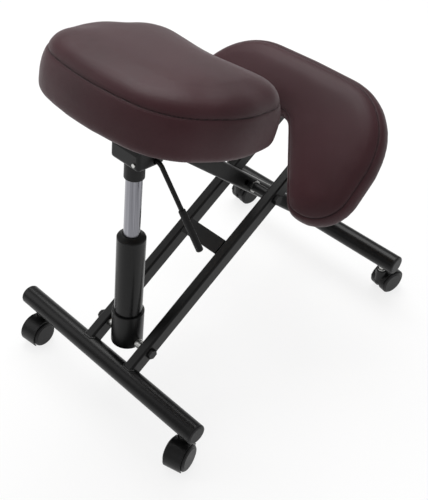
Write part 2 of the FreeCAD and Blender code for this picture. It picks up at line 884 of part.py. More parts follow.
after = (-bend_x - bend_reach * math.cos(fall), -bend_reach * math.sin(fall))
before = bend_reach - bend_x
middle = (before - lever_bend_radius * math.sin(fall / 2), -lever_bend_radius * (1 - math.cos(fall / 2)))
bend_begin = vector(before, 0, 0)
bend_finish = vector(*after, 0)
path.addGeometry(Part.LineSegment(vector(lever_inner_reach, 0, 0), bend_begin), False)
path.addGeometry(Part.Arc(bend_begin, vector(*middle, 0), bend_finish), False)
path.addGeometry(Part.LineSegment(bend_finish, vector(-lever_out, -lever_down, 0)), False)
arc_start = 1
if path.Geometry[1].StartPoint.distanceToPoint(bend_begin) > 1e-3:
    arc_start = 2
path.addConstraint(Sketcher.Constraint("Coincident", 0, 2, 1, arc_start))
path.addConstraint(Sketcher.Constraint("Coincident", 1, 3 - arc_start, 2, 1))
pin_point(path, 0, 1, lever_inner_reach, 0)
pin_point(path, 0, 2, before, 0)
pin_point(path, 2, 1, after[0], after[1])
pin_point(path, 2, 2, -lever_out, -lever_down)
radius_index = path.addConstraint(Sketcher.Constraint("Radius", 1, lever_bend_radius.value))
path.setExpression(f"Constraints[{radius_index}]", lever_bend_radius.text)
section = new_sketch(lever, "YZ_Plane")
section.AttachmentOffset = FreeCAD.Placement(vector(-lever_forward, 0, lever_inner_reach), no_turn)
add_circle(section, lever_diameter)
sweep = lever.newObject("PartDesign::AdditivePipe", "lever_sweep")
sweep.Profile = section
sweep.Spine = (path, [])
sweep.Transition = "Transformed"
drill(lever, "XZ_Plane", lever_pin_hole, tray_behind * 4)
finish("lever_rod", lever, lever_place, lift_turn)

grip = new_body("lever_grip")
revolve(
    grip,
    [
        (lever_diameter / 2 + running_fit, -grip_length),
        (grip_diameter / 2 - edge_break, -grip_length),
        (grip_diameter / 2, edge_break - grip_length),
        (grip_diameter / 2, grip_end / 2),
        (grip_diameter / 2 - grip_end / 2, grip_end),
        (0, grip_end),
        (0, 0),
        (lever_diameter / 2 + running_fit, 0),
    ],
)
lever_end = lift_turn.multVec(vector(0, -lever_forward, 0)) + vector(-lever_out, 0, -lever_down)
grip_direction = FreeCAD.Vector(-math.cos(fall), 0, -math.sin(fall))
grip_turn = FreeCAD.Rotation(FreeCAD.Vector(0, 0, 1), grip_direction)
finish("lever_grip", grip, lever_place + lever_end, grip_turn)

# Seat, origin on the underside of its board, Z square to the board
along_seat = seat_turn.multVec(FreeCAD.Vector(0, -1, 0))
up_seat = seat_turn.multVec(FreeCAD.Vector(0, 0, 1))
seat_place = top_point + up_seat * (pivot_to_plate + plate_thickness).value + along_seat * seat_forward.value

plate = new_body("seat_plate")
outline = new_sketch(plate, "XY_Plane")
middle_y = (plate_behind - plate_front) / 2
add_polygon(outline, rectangle(plate_width, plate_behind + plate_front, 0, middle_y))
pad(plate, outline, plate_thickness, False, True)
dress(plate, "Fillet", plate_corner, upright_edge)
seat_screw_points = []
for x in (-seat_screw_side, seat_screw_side):
    for y in (seat_screw_rear, -seat_screw_front):
        seat_screw_points.append((x, y))
for x, y in seat_screw_points:
    drill(plate, "XY_Plane", screw_diameter + running_fit * 2, plate_thickness * 4, x, y)
finish("seat_plate", plate, seat_place, seat_turn)

gusset = new_body("seat_gusset")
outline = new_sketch(gusset, "YZ_Plane")
gusset_fall = sine(end_lean) / cosine(end_lean)
add_polygon(
    outline,
    [
        (-gusset_start, 0),
        (-gusset_on_plate, 0),
        (-gusset_on_beam, -gusset_on_beam * gusset_fall),
        (-gusset_start, -gusset_start * gusset_fall),
    ],
)
pad(gusset, outline, gusset_thickness, True)
corner_up = stock_depth / 2
corner_back = (pivot_to_plate - corner_up * cosine(end_lean)) / sine(end_lean)
beam_up = beam_turn.multVec(FreeCAD.Vector(0, 0, 1))
beam_over = beam_turn.multVec(FreeCAD.Vector(0, -1, 0))
gusset_place = top_point + beam_up * corner_back.value + beam_over * corner_up.value
finish("seat_gusset", gusset, gusset_place, seat_turn)


def full_outline(half):
    """Whole outline from the half: corners with their radii, rear towards +Y."""
    corners = [(x, -y, radius) for x, y, radius in half]
    corners += [(-x, y, radius) for x, y, radius in corners[-2:0:-1]]
    return corners


def outline_wire(half, outset, height):
    """Closed wire of lines and arcs, set out from the outline by a distance."""
    corners = full_outline(half)
    count = len(corners)
    points = [FreeCAD.Vector(x, y, 0) for x, y, radius in corners]
    turning = sum(points[i - 1].cross(points[i]).z for i in range(count))
    outward = 1 if turning > 0 else -1
    moved = []
    for i in range(count):
        before_side = (points[i] - points[i - 1]).normalize()
        after_side = (points[(i + 1) % count] - points[i]).normalize()
        normal_a = FreeCAD.Vector(before_side.y, -before_side.x, 0) * outward
        normal_b = FreeCAD.Vector(after_side.y, -after_side.x, 0) * outward
        middle_normal = (normal_a + normal_b).normalize()
        moved.append(points[i] + middle_normal * (outset / middle_normal.dot(normal_a)))
    edges = []
    joints = []
    for i in range(count):
        to_before = (moved[i - 1] - moved[i]).normalize()
        to_after = (moved[(i + 1) % count] - moved[i]).normalize()
        cross = (to_before * -1).cross(to_after).z * outward
        radius = corners[i][2] + (outset if cross > 0 else -outset)
        angle = math.pi - to_before.getAngle(to_after)
        reach = radius * math.tan(angle / 2)
        bisector = (to_before + to_after).normalize()
        depth = radius / math.cos(angle / 2) - radius
        start = moved[i] + to_before * reach
        end = moved[i] + to_after * reach
        joints.append((start, moved[i] + bisector * depth, end))
    lift = FreeCAD.Vector(0, 0, height)
    for i in range(count):
        start, top, end = joints[i]
        edges.append(Part.Arc(start + lift, top + lift, end + lift).toShape())
        edges.append(Part.LineSegment(end + lift, joints[(i + 1) % count][0] + lift).toShape())
    return Part.Wire(edges)


def cushion_shape(half, side_height, crown, bulge, inset):
    """Bulging cushion: lofted side band and lofted crown, hollow for its board."""
    band = [
        (0, -4),
        (side_height * 0.07, 0),
        (side_height * 0.25, bulge * 0.75),
        (side_height * 0.5, bulge),
        (side_height * 0.75, bulge * 0.75),
        (side_height, 0),
    ]
    top = [
        (side_height, 0),
        (side_height + crown * 0.3, -3.5),
        (side_height + crown * 0.6, -10),
        (side_height + crown * 0.85, -19),
        (side_height + crown, -29),
    ]
    pieces = []
    for levels in (band, top):
        wires = [outline_wire(half, outset, height) for height, outset in levels]
        pieces.append(Part.makeLoft(wires, True, False))
    body = pieces[0].fuse(pieces[1]).removeSplitter()
    recess_depth = (board_thickness + seat_gap).value
    recess = Part.Face(outline_wire(half, seat_gap.value - inset, 0))
    hollow = recess.extrude(FreeCAD.Vector(0, 0, recess_depth))
    return body.cut(hollow)


def board(name, half, inset, screw_points, place, turn):
    """Plywood board inside a cushion with a pilot hole for each screw."""
    item = document.addObject("Part::Feature", name)
    shape = Part.Face(outline_wire(half, -inset, 0)).extrude(vector(0, 0, board_thickness))
    for x, y in screw_points:
        radius = (screw_diameter / 2 + running_fit).value
        shape = shape.cut(Part.makeCylinder(radius, (screw_grip + 1).value, vector(x, y, 0)))
    item.Shape = shape
    finish(name, item, place, turn)


def cushion(name, half, side_height, crown, bulge, place, turn):
    """Upholstered pad over its board."""
    item = document.addObject("Part::Feature", name)
    item.Shape = cushion_shape(half, side_height.value, crown.value, bulge.value, board_inset.value)
    finish(name, item, place, turn)


def screws(name, points, under, place, turn):
    """Pan head screws upwards through a plate of given thickness into a board."""
    pieces = []
    for index, (x, y) in enumerate(points):
        piece = new_body(f"{name}_{index + 1}")
        shank = screw_diameter / 2
        head = screw_head_diameter / 2
        revolve(
            piece,
            [
                (0, -screw_head_height),
                (head - screw_rounding, -screw_head_height),
                (head, screw_rounding - screw_head_height),
                (head, 0),
                (shank, 0),
                (shank, under + screw_grip),
                (0, under + screw_grip),
            ],
        )
        piece.Placement = FreeCAD.Placement(vector(x, y, -under), no_turn)
        pieces.append(piece)
    together(name, pieces, place, turn)


board("seat_board", seat_corners, board_inset.value, seat_screw_points, seat_place, seat_turn)
cushion("seat_cushion", seat_corners, seat_side_height, seat_crown, seat_bulge, seat_place, seat_turn)
screws("seat_screws", seat_screw_points, plate_thickness, seat_place, seat_turn)

# Knee pad, origin on the underside of its board, Z square to the board
knee_point = on_rail(knee_along, knee_above)
knee_place = vector(0, knee_point[0], knee_point[1])
wedge_angle = knee_tilt - rail_angle
wedge_rise = sine(wedge_angle) / cosine(wedge_angle)
bracket_end = bracket_start + bracket_length


def board_height(along):
    """Height of the board underside over the rail centre line."""
    return knee_above + (along - knee_along) * wedge_rise


for side_name, side in (("right", -1), ("left", 1)):
    bracket = new_body(f"knee_bracket_{side_name}")
    outline = new_sketch(bracket, "YZ_Plane")
    rail_top = stock_depth / 2
    add_polygon(
        outline,
        [
            (rail_top, bracket_start),
            (board_height(bracket_start), bracket_start),
            (board_height(bracket_end), bracket_end),
            (rail_top, bracket_end),
        ],
    )
    pad(bracket, outline, stock_width, True)
    outline = new_sketch(bracket, "YZ_Plane")
    under_top = bracket_sheet / cosine(wedge_angle)
    early = bracket_start - stock_corner
    late = bracket_end + stock_corner
    add_polygon(
        outline,
        [
            (rail_top - stock_corner, early),
            (board_height(early) - under_top, early),
            (board_height(late) - under_top, late),
            (rail_top - stock_corner, late),
        ],
    )
    pocket(bracket, outline, stock_width - bracket_sheet * 2, True)
    drills = []
    for along in (knee_screw_rear, knee_screw_front):
        drill_bit = document.addObject("Part::Cylinder", f"knee_drill_{side_name}")
        drive(drill_bit, "Radius", screw_diameter / 2 + running_fit)
        drive(drill_bit, "Height", screw_head_diameter)
        reach = knee_along + along * cosine(wedge_angle)
        start_y = board_height(reach) - bracket_sheet * 2 * cosine(wedge_angle)
        start_z = reach + bracket_sheet * 2 * sine(wedge_angle)
        tilt = about_x(-90 - wedge_angle.value)
        drill_bit.Placement = FreeCAD.Placement(vector(0, start_y, start_z), tilt)
        drills.append(drill_bit)
    drill_bits = document.addObject("Part::MultiFuse", f"knee_drills_{side_name}")
    drill_bits.Shapes = drills
    drilled = document.addObject("Part::Cut", f"knee_bracket_drilled_{side_name}")
    drilled.Base = bracket
    drilled.Tool = drill_bits
    bracket_place = rail_origin + vector(rail_spacing / 2 * side, 0, 0)
    finish(f"knee_bracket_{side_name}", drilled, bracket_place, rail_turn)

knee_screw_points = []
for x in (-rail_spacing / 2, rail_spacing / 2):
    for y in (-knee_screw_rear, -knee_screw_front):
        knee_screw_points.append((x, y))
board("knee_board", knee_corners, board_inset.value, knee_screw_points, knee_place, knee_turn)
cushion("knee_cushion", knee_corners, knee_side_height, knee_crown, knee_bulge, knee_place, knee_turn)
screws("knee_screws", knee_screw_points, bracket_sheet, knee_place, knee_turn)


def caster(name, centre, side, yaw):
    """Twin wheel caster: stem, hood, axle and two wheels under one tube end."""
    turn = FreeCAD.Rotation(FreeCAD.Vector(0, 0, 1), yaw)
    place = FreeCAD.Vector(side * stem_side.value, centre.y, 0)

    stem = new_body(f"{name}_stem")
    stem_radius = stem_diameter / 2
    flange_radius = stem_flange_diameter / 2
    flange_top = cross_tube_height - cross_tube_diameter / 2
    flange_foot = hood_top + seat_gap
    revolve(
        stem,
        [
            (0, stem_foot),
            (stem_radius - edge_break, stem_foot),
            (stem_radius, stem_foot + edge_break),
            (stem_radius, flange_foot),
            (flange_radius, flange_foot),
            (flange_radius, flange_foot + stem_flange_height),
            (stem_radius + stem_shoulder, flange_foot + stem_flange_height),
            (stem_radius + stem_shoulder, flange_top),
            (stem_radius, flange_top),
            (stem_radius, stem_top - edge_break),
            (stem_radius - edge_break, stem_top),
            (0, stem_top),
        ],
    )
    finish(f"{name}_stem", stem, place, turn)

    axle_start = vector(-hood_width / 2, stem_trail, wheel_axle_height)
    shell = document.addObject("Part::Cylinder", f"{name}_shell")
    drive(shell, "Radius", hood_diameter / 2)
    drive(shell, "Height", hood_width)
    shell.Placement = FreeCAD.Placement(axle_start, lengthwise_x)
    boss = document.addObject("Part::Cylinder", f"{name}_boss")
    drive(boss, "Radius", boss_diameter / 2)
    drive(boss, "Height", hood_top - hood_front_height)
    boss.Placement.Base = vector(0, 0, hood_front_height)
    below = document.addObject("Part::Box", f"{name}_below")
    drive(below, "Length", hood_diameter * 2)
    drive(below, "Width", hood_diameter * 2)
    drive(below, "Height", hood_diameter)
    below.Placement.Base = vector(-hood_diameter, -hood_diameter, hood_rear_height - hood_diameter)
    front = document.addObject("Part::Box", f"{name}_front")
    drive(front, "Length", hood_diameter * 2)
    drive(front, "Width", hood_diameter * 2)
    drive(front, "Height", hood_diameter)
    front_edge = stem_trail - hood_front_cut - hood_diameter * 2
    front.Placement.Base = vector(-hood_diameter, front_edge, hood_front_height - hood_diameter)
    sides = []
    for side_sign in (-1, 1):
        room = document.addObject("Part::Cylinder", f"{name}_room")
        drive(room, "Radius", wheel_diameter / 2 + hood_clearance)
        drive(room, "Height", hood_width)
        start = hood_web / 2 if side_sign > 0 else -hood_web / 2 - hood_width
        room.Placement = FreeCAD.Placement(vector(start, stem_trail, wheel_axle_height), lengthwise_x)
        sides.append(room)
    bore = document.addObject("Part::Cylinder", f"{name}_bore")
    drive(bore, "Radius", stem_diameter / 2 + running_fit)
    drive(bore, "Height", hood_top)
    bore.Placement.Base = vector(0, 0, stem_foot - seat_gap)
    axle_bore = document.addObject("Part::Cylinder", f"{name}_axle_bore")
    drive(axle_bore, "Radius", axle_diameter / 2 + running_fit)
    drive(axle_bore, "Height", hood_width)
    axle_bore.Placement = FreeCAD.Placement(axle_start, lengthwise_x)
    solid = document.addObject("Part::MultiFuse", f"{name}_solid")
    solid.Shapes = [shell, boss]
    away = document.addObject("Part::MultiFuse", f"{name}_away")
    away.Shapes = [below, front, bore, axle_bore] + sides
    hood = document.addObject("Part::Cut", f"{name}_hood")
    hood.Base = solid
    hood.Tool = away
    finish(f"{name}_hood", hood, place, turn)

    axle_place = place + turn.multVec(vector(0, stem_trail, wheel_axle_height))
    across_turn = turn.multiply(lengthwise_x)
    axle = new_body(f"{name}_axle")
    sketch = new_sketch(axle, "XY_Plane")
    add_circle(sketch, axle_diameter)
    pad(axle, sketch, (wheel_inner_face + wheel_width - axle_cover) * 2, True)
    finish(f"{name}_axle", axle, axle_place, across_turn)

    for wheel_name, facing in (("outer", side), ("inner", -side)):
        wheel = new_body(f"{name}_wheel_{wheel_name}")
        outer_radius = wheel_diameter / 2
        outer_face = wheel_inner_face + wheel_width
        axle_end = outer_face - axle_cover
        bore_radius = axle_diameter / 2 + running_fit
        revolve(
            wheel,
            [
                (bore_radius, wheel_inner_face),
                (bore_radius, axle_end + seat_gap),
                (0, axle_end + seat_gap),
                (0, outer_face),
                (outer_radius - wheel_disc_inset, outer_face),
                (outer_radius - wheel_disc_edge, outer_face - edge_break),
                (outer_radius - wheel_rim, outer_face - edge_break),
                (outer_radius, outer_face - wheel_rim - edge_break),
                (outer_radius, wheel_inner_face + wheel_rim),
                (outer_radius - wheel_rim, wheel_inner_face),
            ],
        )
        flip = FreeCAD.Rotation(FreeCAD.Vector(0, 1, 0), 90 * facing)
        finish(f"{name}_wheel_{wheel_name}", wheel, axle_place, turn.multiply(flip))


caster("caster_rear_right", rear_point, -1, 15)
caster("caster_rear_left", rear_point, 1, 6)
caster("caster_front_right", front_point, -1, 168)
caster("caster_front_left", front_point, 1, 172)

document.recompute()

# Put the origin at the middle of the footprint, on the floor
bounds = FreeCAD.BoundBox()
for item in nodes.values():
    bounds.add(item.Shape.BoundBox)
shift = FreeCAD.Vector(-bounds.Center.x, -bounds.Center.y, -bounds.ZMin)
for item in nodes.values():
    item.Placement = FreeCAD.Placement(item.Placement.Base + shift, item.Placement.Rotation)
document.recompute()

for item in document.Objects:
    if "Invalid" in item.State or "Error" in item.State:
        raise RuntimeError(f"{item.Label} did not build: {item.State}")
for name, item in nodes.items():
    if item.Shape.isNull() or not item.Shape.isValid():
        raise RuntimeError(f"{name} has no valid shape")
    if item.Shape.Volume <= 0 or not item.Shape.Solids:
        raise RuntimeError(f"{name} is not solid")
    item.Shape.exportStep(f"parts/{name}.step")

print("size", [round(number, 2) for number in (bounds.XLength, bounds.YLength, bounds.ZLength)])
print("shift", [round(number, 3) for number in shift])
print("lean", round(lift_lean, 4), "reach", round(lift_reach, 3))
places = {
    "main pivot": main_point,
    "top pivot": top_point,
    "lift foot": lift_origin,
    "front tube": front_point,
    "rear tube": rear_point,
    "lever pin": lever_place,
    "seat board": seat_place,
    "knee board": knee_place,
}
for label, point in places.items():
    print(label, [round(coordinate, 3) for coordinate in point + shift])
print("pieces", {name: len(item.Shape.Solids) for name, item in nodes.items()})
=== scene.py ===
"""Looks of the kneeling chair: cushions, welds, finishes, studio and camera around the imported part."""

import logging
import math
from dataclasses import dataclass, field
from enum import Enum

import bmesh
import bpy
import numpy as np
from mathutils import Matrix, Vector


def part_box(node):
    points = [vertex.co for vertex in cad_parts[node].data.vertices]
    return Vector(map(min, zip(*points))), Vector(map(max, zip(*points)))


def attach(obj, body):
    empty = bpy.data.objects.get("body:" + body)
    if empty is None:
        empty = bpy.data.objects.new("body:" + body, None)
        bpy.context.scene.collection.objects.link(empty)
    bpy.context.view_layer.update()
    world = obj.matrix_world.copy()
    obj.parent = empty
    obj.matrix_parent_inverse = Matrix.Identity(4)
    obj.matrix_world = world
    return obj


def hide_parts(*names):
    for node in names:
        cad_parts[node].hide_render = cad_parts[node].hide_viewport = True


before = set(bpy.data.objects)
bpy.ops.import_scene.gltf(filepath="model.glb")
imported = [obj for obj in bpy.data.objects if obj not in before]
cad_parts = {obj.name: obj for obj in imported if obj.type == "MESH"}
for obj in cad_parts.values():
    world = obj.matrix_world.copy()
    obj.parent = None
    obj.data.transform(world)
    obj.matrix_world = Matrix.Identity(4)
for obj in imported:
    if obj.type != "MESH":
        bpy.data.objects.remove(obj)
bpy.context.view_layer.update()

log = logging.getLogger("kneeling_chair")
logging.basicConfig(level=logging.INFO, format="%(name)s: %(message)s")


def middle(name: str) -> Vector:
    """Middle of a carried-over piece."""
    low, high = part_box(name)
    return (low + high) / 2


class Layout:
    """Places of the chair that are read from the frame."""

    rail_angle = math.radians(26.3)
    beam_angle = math.radians(45.5)
    seat_tilt = math.radians(20.0)
    knee_tilt = math.radians(-37.6)
    seat_above_pivot = 0.0199
    seat_ahead_of_pivot = 0.0347
    knee_along_rail = 0.5392
    knee_above_rail = 0.0455

    def __init__(self) -> None:
        """Read the axes and work out the cushions' places."""
        self.rear = middle("rear_cross_tube")
        self.front = middle("front_cross_tube")
        self.lift_foot = middle("lift_foot_bolt")
        self.top_pivot = middle("top_pivot_bolt")
        for place in (self.rear, self.front, self.lift_foot, self.top_pivot):
            place.x = 0.0
        run = self.lift_foot.y - self.top_pivot.y
        self.lift_lean = math.atan2(run, self.top_pivot.z - self.lift_foot.z)
        self.rail_ahead = Vector((0.0, -math.cos(self.rail_angle), math.sin(self.rail_angle)))
        self.rail_over = Vector((0.0, math.sin(self.rail_angle), math.cos(self.rail_angle)))
        self.beam_ahead = Vector((0.0, math.cos(self.beam_angle), math.sin(self.beam_angle)))
        self.beam_over = Vector((0.0, -math.sin(self.beam_angle), math.cos(self.beam_angle)))
        seat_over = Vector((0.0, -math.sin(self.seat_tilt), math.cos(self.seat_tilt)))
        seat_ahead = Vector((0.0, -math.cos(self.seat_tilt), -math.sin(self.seat_tilt)))
        over_pivot = seat_over * self.seat_above_pivot
        self.seat = self.top_pivot + over_pivot + seat_ahead * self.seat_ahead_of_pivot
        on_rail = self.rear + self.rail_ahead * self.knee_along_rail
        self.knee = on_rail + self.rail_over * self.knee_above_rail


class Side(Enum):
    """Side of the chair, as the sitter has it."""

    RIGHT = -1
    LEFT = 1


class Wire:
    """An output socket of a shader that can be used in plain maths."""

    def __init__(self, sheet: "Sheet", socket: bpy.types.NodeSocket) -> None:
        """Wrap one socket of a shader sheet."""
        self.sheet = sheet
        self.socket = socket

    def maths(self, operation: str, *others: "Wire | float") -> "Wire":
        """Run one maths node on this wire.

        Args:
            operation: name of the maths operation.
            others: further inputs, wires or numbers.

        Returns:
            The result as a wire.
        """
        inputs = dict(enumerate((self, *others)))
        return self.sheet.node("ShaderNodeMath", {"operation": operation}, inputs).wire("Value")

    def __add__(self, other: "Wire | float") -> "Wire":
        """Sum."""
        return self.maths("ADD", other)

    def __sub__(self, other: "Wire | float") -> "Wire":
        """Difference."""
        return self.maths("SUBTRACT", other)

    def __rsub__(self, other: float) -> "Wire":
        """Difference from a number."""
        return (self * -1.0) + other

    def __mul__(self, other: "Wire | float") -> "Wire":
        """Product."""
        return self.maths("MULTIPLY", other)

    def __truediv__(self, other: "Wire | float") -> "Wire":
        """Quotient."""
        return self.maths("DIVIDE", other)

    __radd__ = __add__
    __rmul__ = __mul__

    def hump(self, width: float) -> "Wire":
        """Soft hump round zero: 1 at zero, falling to 0 over a few widths."""
        ratio = self / width
        return (ratio * ratio * -1.0).maths("EXPONENT")

    def between(self, low: float, high: float) -> "Wire":
        """Smooth step from 0 at low to 1 at high."""
        settings = {"interpolation_type": "SMOOTHSTEP"}
        inputs = {"Value": self, "From Min": low, "From Max": high}
        return self.sheet.node("ShaderNodeMapRange", settings, inputs).wire("Result")


class Made:
    """A shader node that was just added, with its outputs as wires."""

    def __init__(self, sheet: "Sheet", node: bpy.types.Node) -> None:
        """Keep the node and its sheet."""
        self.sheet = sheet
        self.node = node

    def wire(self, name: str | int) -> Wire:
        """Output of the node by name or number."""
        return Wire(self.sheet, self.node.outputs[name])


class Sheet:
    """Node sheet of one material."""

    def __init__(self, name: str) -> None:
        """Make an empty material with a principled shader and an output."""
        self.material = bpy.data.materials.new(name)
        self.material.use_nodes = True
        self.tree = self.material.node_tree
        self.tree.nodes.clear()
        self.output = self.tree.nodes.new("ShaderNodeOutputMaterial")
        self.shader = self.tree.nodes.new("ShaderNodeBsdfPrincipled")
        self.tree.links.new(self.shader.outputs["BSDF"], self.output.inputs["Surface"])

    def node(self, kind: str, settings: dict, inputs: dict) -> Made:
        """Add a node.

        Args:
            kind: node type.
            settings: properties that are set before the inputs.
            inputs: values or wires by socket name or number.

        Returns:
            The new node.
        """
        node = self.tree.nodes.new(kind)
        for key, value in settings.items():
            setattr(node, key, value)
        for key, value in inputs.items():
            if isinstance(value, Wire):
                self.tree.links.new(value.socket, node.inputs[key])
            else:
                node.inputs[key].default_value = value
        return Made(self, node)

    def place(self) -> Wire:
        """Object coordinates, in metres."""
        return self.node("ShaderNodeTexCoord", {}, {}).wire("Object")

    def turned(self, centre: tuple, tilt: float, stretch: tuple = (1.0, 1.0, 1.0)) -> Wire:
        """Object coordinates in a frame tilted about X.

        Args:
            centre: origin of the tilted frame.
            tilt: tilt about X in radians.
            stretch: scale of each axis of the tilted frame.

        Returns:
            The coordinates.
        """
        moved = self.node("ShaderNodeVectorMath", {"operation": "SUBTRACT"}, {0: self.place(), 1: centre})
        turn = {"Vector": moved.wire("Vector"), "Rotation": (-tilt, 0.0, 0.0)}
        level = self.node("ShaderNodeMapping", {}, turn)
        scaled = {"Vector": level.wire("Vector"), "Scale": stretch}
        return self.node("ShaderNodeMapping", {}, scaled).wire("Vector")

    def noise(self, where: Wire, scale: float, detail: float = 2.0, roughness: float = 0.5) -> Wire:
        """Noise value between 0 and 1."""
        inputs = {"Vector": where, "Scale": scale, "Detail": detail, "Roughness": roughness}
        return self.node("ShaderNodeTexNoise", {}, inputs).wire("Fac")

    def cells(self, where: Wire, scale: float, feature: str = "DISTANCE_TO_EDGE") -> Wire:
        """Distance in a cell pattern."""
        made = self.node("ShaderNodeTexVoronoi", {"feature": feature}, {"Vector": where, "Scale": scale})
        return made.wire("Distance")

    def attribute(self, name: str) -> Wire:
        """Number stored on the mesh."""
        return self.node("ShaderNodeAttribute", {"attribute_name": name}, {}).wire("Fac")

    def blend(self, amount: Wire, low: "Wire | tuple", high: "Wire | tuple") -> Wire:
        """Mix of two colours by an amount."""
        settings = {"data_type": "RGBA"}
        made = self.node("ShaderNodeMix", settings, {"Factor": amount, "A": low, "B": high})
        return Wire(self, made.node.outputs[2])

    def bump(self, height: Wire, distance: float, strength: float = 1.0, under: Wire | None = None) -> Wire:
        """Bump from a height."""
        inputs = {"Height": height, "Distance": distance, "Strength": strength}
        if under is not None:
            inputs["Normal"] = under
        return self.node("ShaderNodeBump", {}, inputs).wire("Normal")

    def finish(self, **inputs: "Wire | float | tuple") -> bpy.types.Material:
        """Set the shader's sockets; underscores stand for spaces.

        Args:
            inputs: values or wires by socket name.

        Returns:
            The material.
        """
        for key, value in inputs.items():
            socket = self.shader.inputs[key.replace("_", " ")]
            if isinstance(value, Wire):
                self.tree.links.new(value.socket, socket)
            else:
                socket.default_value = value
        return self.material


def paint(red: float, green: float, blue: float) -> tuple:
    """Colour with full alpha."""
    return (red, green, blue, 1.0)


def grey(level: float) -> tuple:
    """Grey with full alpha."""
    return paint(level, level, level)


# Dust and rubbed spots on black surfaces.
DUST = grey(0.02)


@dataclass(frozen=True)
class PowderCoat:
    """Black powder coat with orange peel, faint dust and rubbed spots."""

    name: str
    shade: float = 0.0035
    roughness: float = 0.32
    peel: float = 900.0

    def make(self) -> bpy.types.Material:
        """Build the material."""
        sheet = Sheet(self.name)
        place = sheet.place()
        clouds = sheet.noise(place, 9.0, 4.0)
        specks = sheet.noise(place, 260.0, 3.0)
        peel = sheet.noise(place, self.peel, 2.0)
        rub = sheet.noise(place, 45.0, 5.0, 0.7).between(0.62, 0.78)
        dark = paint(self.shade * 0.75, self.shade * 0.75, self.shade * 0.77)
        pale = paint(self.shade * 1.5, self.shade * 1.5, self.shade * 1.55)
        base = sheet.blend(clouds.between(0.3, 0.7), dark, pale)
        dusty = sheet.blend(rub * 0.22, base, DUST)
        rough = clouds * 0.10 + rub * 0.12 + specks * 0.06 + (self.roughness - 0.08)
        normal = sheet.bump(peel * 0.7 + specks * 0.3, 0.00012, 0.55)
        return sheet.finish(
            Base_Color=dusty,
            Roughness=rough,
            Normal=normal,
            IOR=1.5,
            Specular_IOR_Level=0.22,
        )


@dataclass(frozen=True)
class ColumnChrome:
    """Chromed column: painted reflection streaks along its length in its colour, with fine ground streaks
    in its roughness and bump.
    """

    name: str
    centre: tuple
    lean: float

    def make(self) -> bpy.types.Material:
        """Build the material."""
        sheet = Sheet(self.name)
        along = sheet.turned(self.centre, self.lean, (420.0, 420.0, 5.0))
        streaks = sheet.noise(along, 1.0, 3.0)
        broad_reflection_streaks = sheet.noise(sheet.turned(self.centre, self.lean, (90.0, 90.0, 2.0)), 1.0, 2.0)
        film = sheet.noise(sheet.place(), 60.0, 4.0)
        # Painted reflection: fine and broad streaks along the column lighten and darken the colour.
        mixed = streaks * 0.5 + broad_reflection_streaks * 0.5
        base = sheet.blend(mixed.between(0.3, 0.7), paint(0.13, 0.13, 0.145), paint(0.34, 0.34, 0.37))
        rough = streaks * 0.10 + film * 0.08 + 0.10
        normal = sheet.bump(streaks, 0.00004, 0.5)
        return sheet.finish(Base_Color=base, Metallic=1.0, Roughness=rough, Normal=normal)


@dataclass(frozen=True)
class ZincPlate:
    """Bright zinc plate with a fine spangle and dull patches."""

    name: str
    tone: float = 0.62

    def make(self) -> bpy.types.Material:
        """Build the material."""
        sheet = Sheet(self.name)
        place = sheet.place()
        spangle = sheet.cells(place, 900.0, "F1")
        dull = sheet.noise(place, 220.0, 4.0)
        bright = paint(self.tone * 1.1, self.tone * 1.1, self.tone * 1.07)
        grey = paint(self.tone * 0.7, self.tone * 0.7, self.tone * 0.68)
        base = sheet.blend(dull.between(0.35, 0.7), bright, grey)
        rough = dull * 0.22 + spangle * 0.10 + 0.16
        normal = sheet.bump(spangle, 0.00004, 0.4)
        return sheet.finish(Base_Color=base, Metallic=1.0, Roughness=rough, Normal=normal)


@dataclass(frozen=True)
class MouldedPlastic:
    """Black moulded plastic with spark-eroded grain and slight flow marks."""

    name: str
    shade: float = 0.0045
    roughness: float = 0.42
    grain: float = 1500.0

    def make(self) -> bpy.types.Material:
        """Build the material."""
        sheet = Sheet(self.name)
        place = sheet.place()
        grain = sheet.cells(place, self.grain, "F1")
        flow = sheet.noise(place, 30.0, 3.0)
        scuffs = sheet.noise(place, 130.0, 6.0, 0.75).between(0.6, 0.75)
        dark = paint(self.shade * 0.8, self.shade * 0.8, self.shade * 0.82)
        light = paint(self.shade * 1.4, self.shade * 1.4, self.shade * 1.45)
        base = sheet.blend(flow, dark, light)
        worn = sheet.blend(scuffs * 0.25, base, DUST)
        rough = grain * 0.10 + scuffs * 0.15 + flow * 0.08 + (self.roughness - 0.08)
        normal = sheet.bump(grain, 0.00008, 0.6)
        return sheet.finish(
            Base_Color=worn,
            Roughness=rough,
            Normal=normal,
            IOR=1.49,
            Specular_IOR_Level=0.25,
        )


@dataclass(frozen=True)
class Plywood:
    """Birch plywood: long grain on the faces, thin plies on the edges."""

    name: str
    centre: tuple
    tilt: float
    ply: float = 0.0017

    def make(self) -> bpy.types.Material:
        """Build the material."""
        sheet = Sheet(self.name)
        grain = sheet.noise(sheet.turned(self.centre, self.tilt, (14.0, 190.0, 190.0)), 1.0, 5.0, 0.6)
        fibres = sheet.noise(sheet.turned(self.centre, self.tilt, (60.0, 1500.0, 1500.0)), 1.0, 2.0)
        flat = sheet.turned(self.centre, self.tilt)
        height = sheet.node("ShaderNodeSeparateXYZ", {}, {0: flat}).wire("Z")
        plies = (height * (math.pi / self.ply)).maths("SINE").between(-0.4, 0.4)
        pale = sheet.blend(grain, paint(0.50, 0.35, 0.20), paint(0.66, 0.50, 0.32))
        dark = sheet.blend(grain, paint(0.30, 0.18, 0.09), paint(0.42, 0.27, 0.15))
        base = sheet.blend(plies * 0.75 + 0.12, dark, pale)
        rough = grain * 0.15 + fibres * 0.1 + 0.55
        normal = sheet.bump(grain * 0.4 + fibres * 0.6, 0.00018, 0.6)
        return sheet.finish(Base_Color=base, Roughness=rough, Normal=normal)


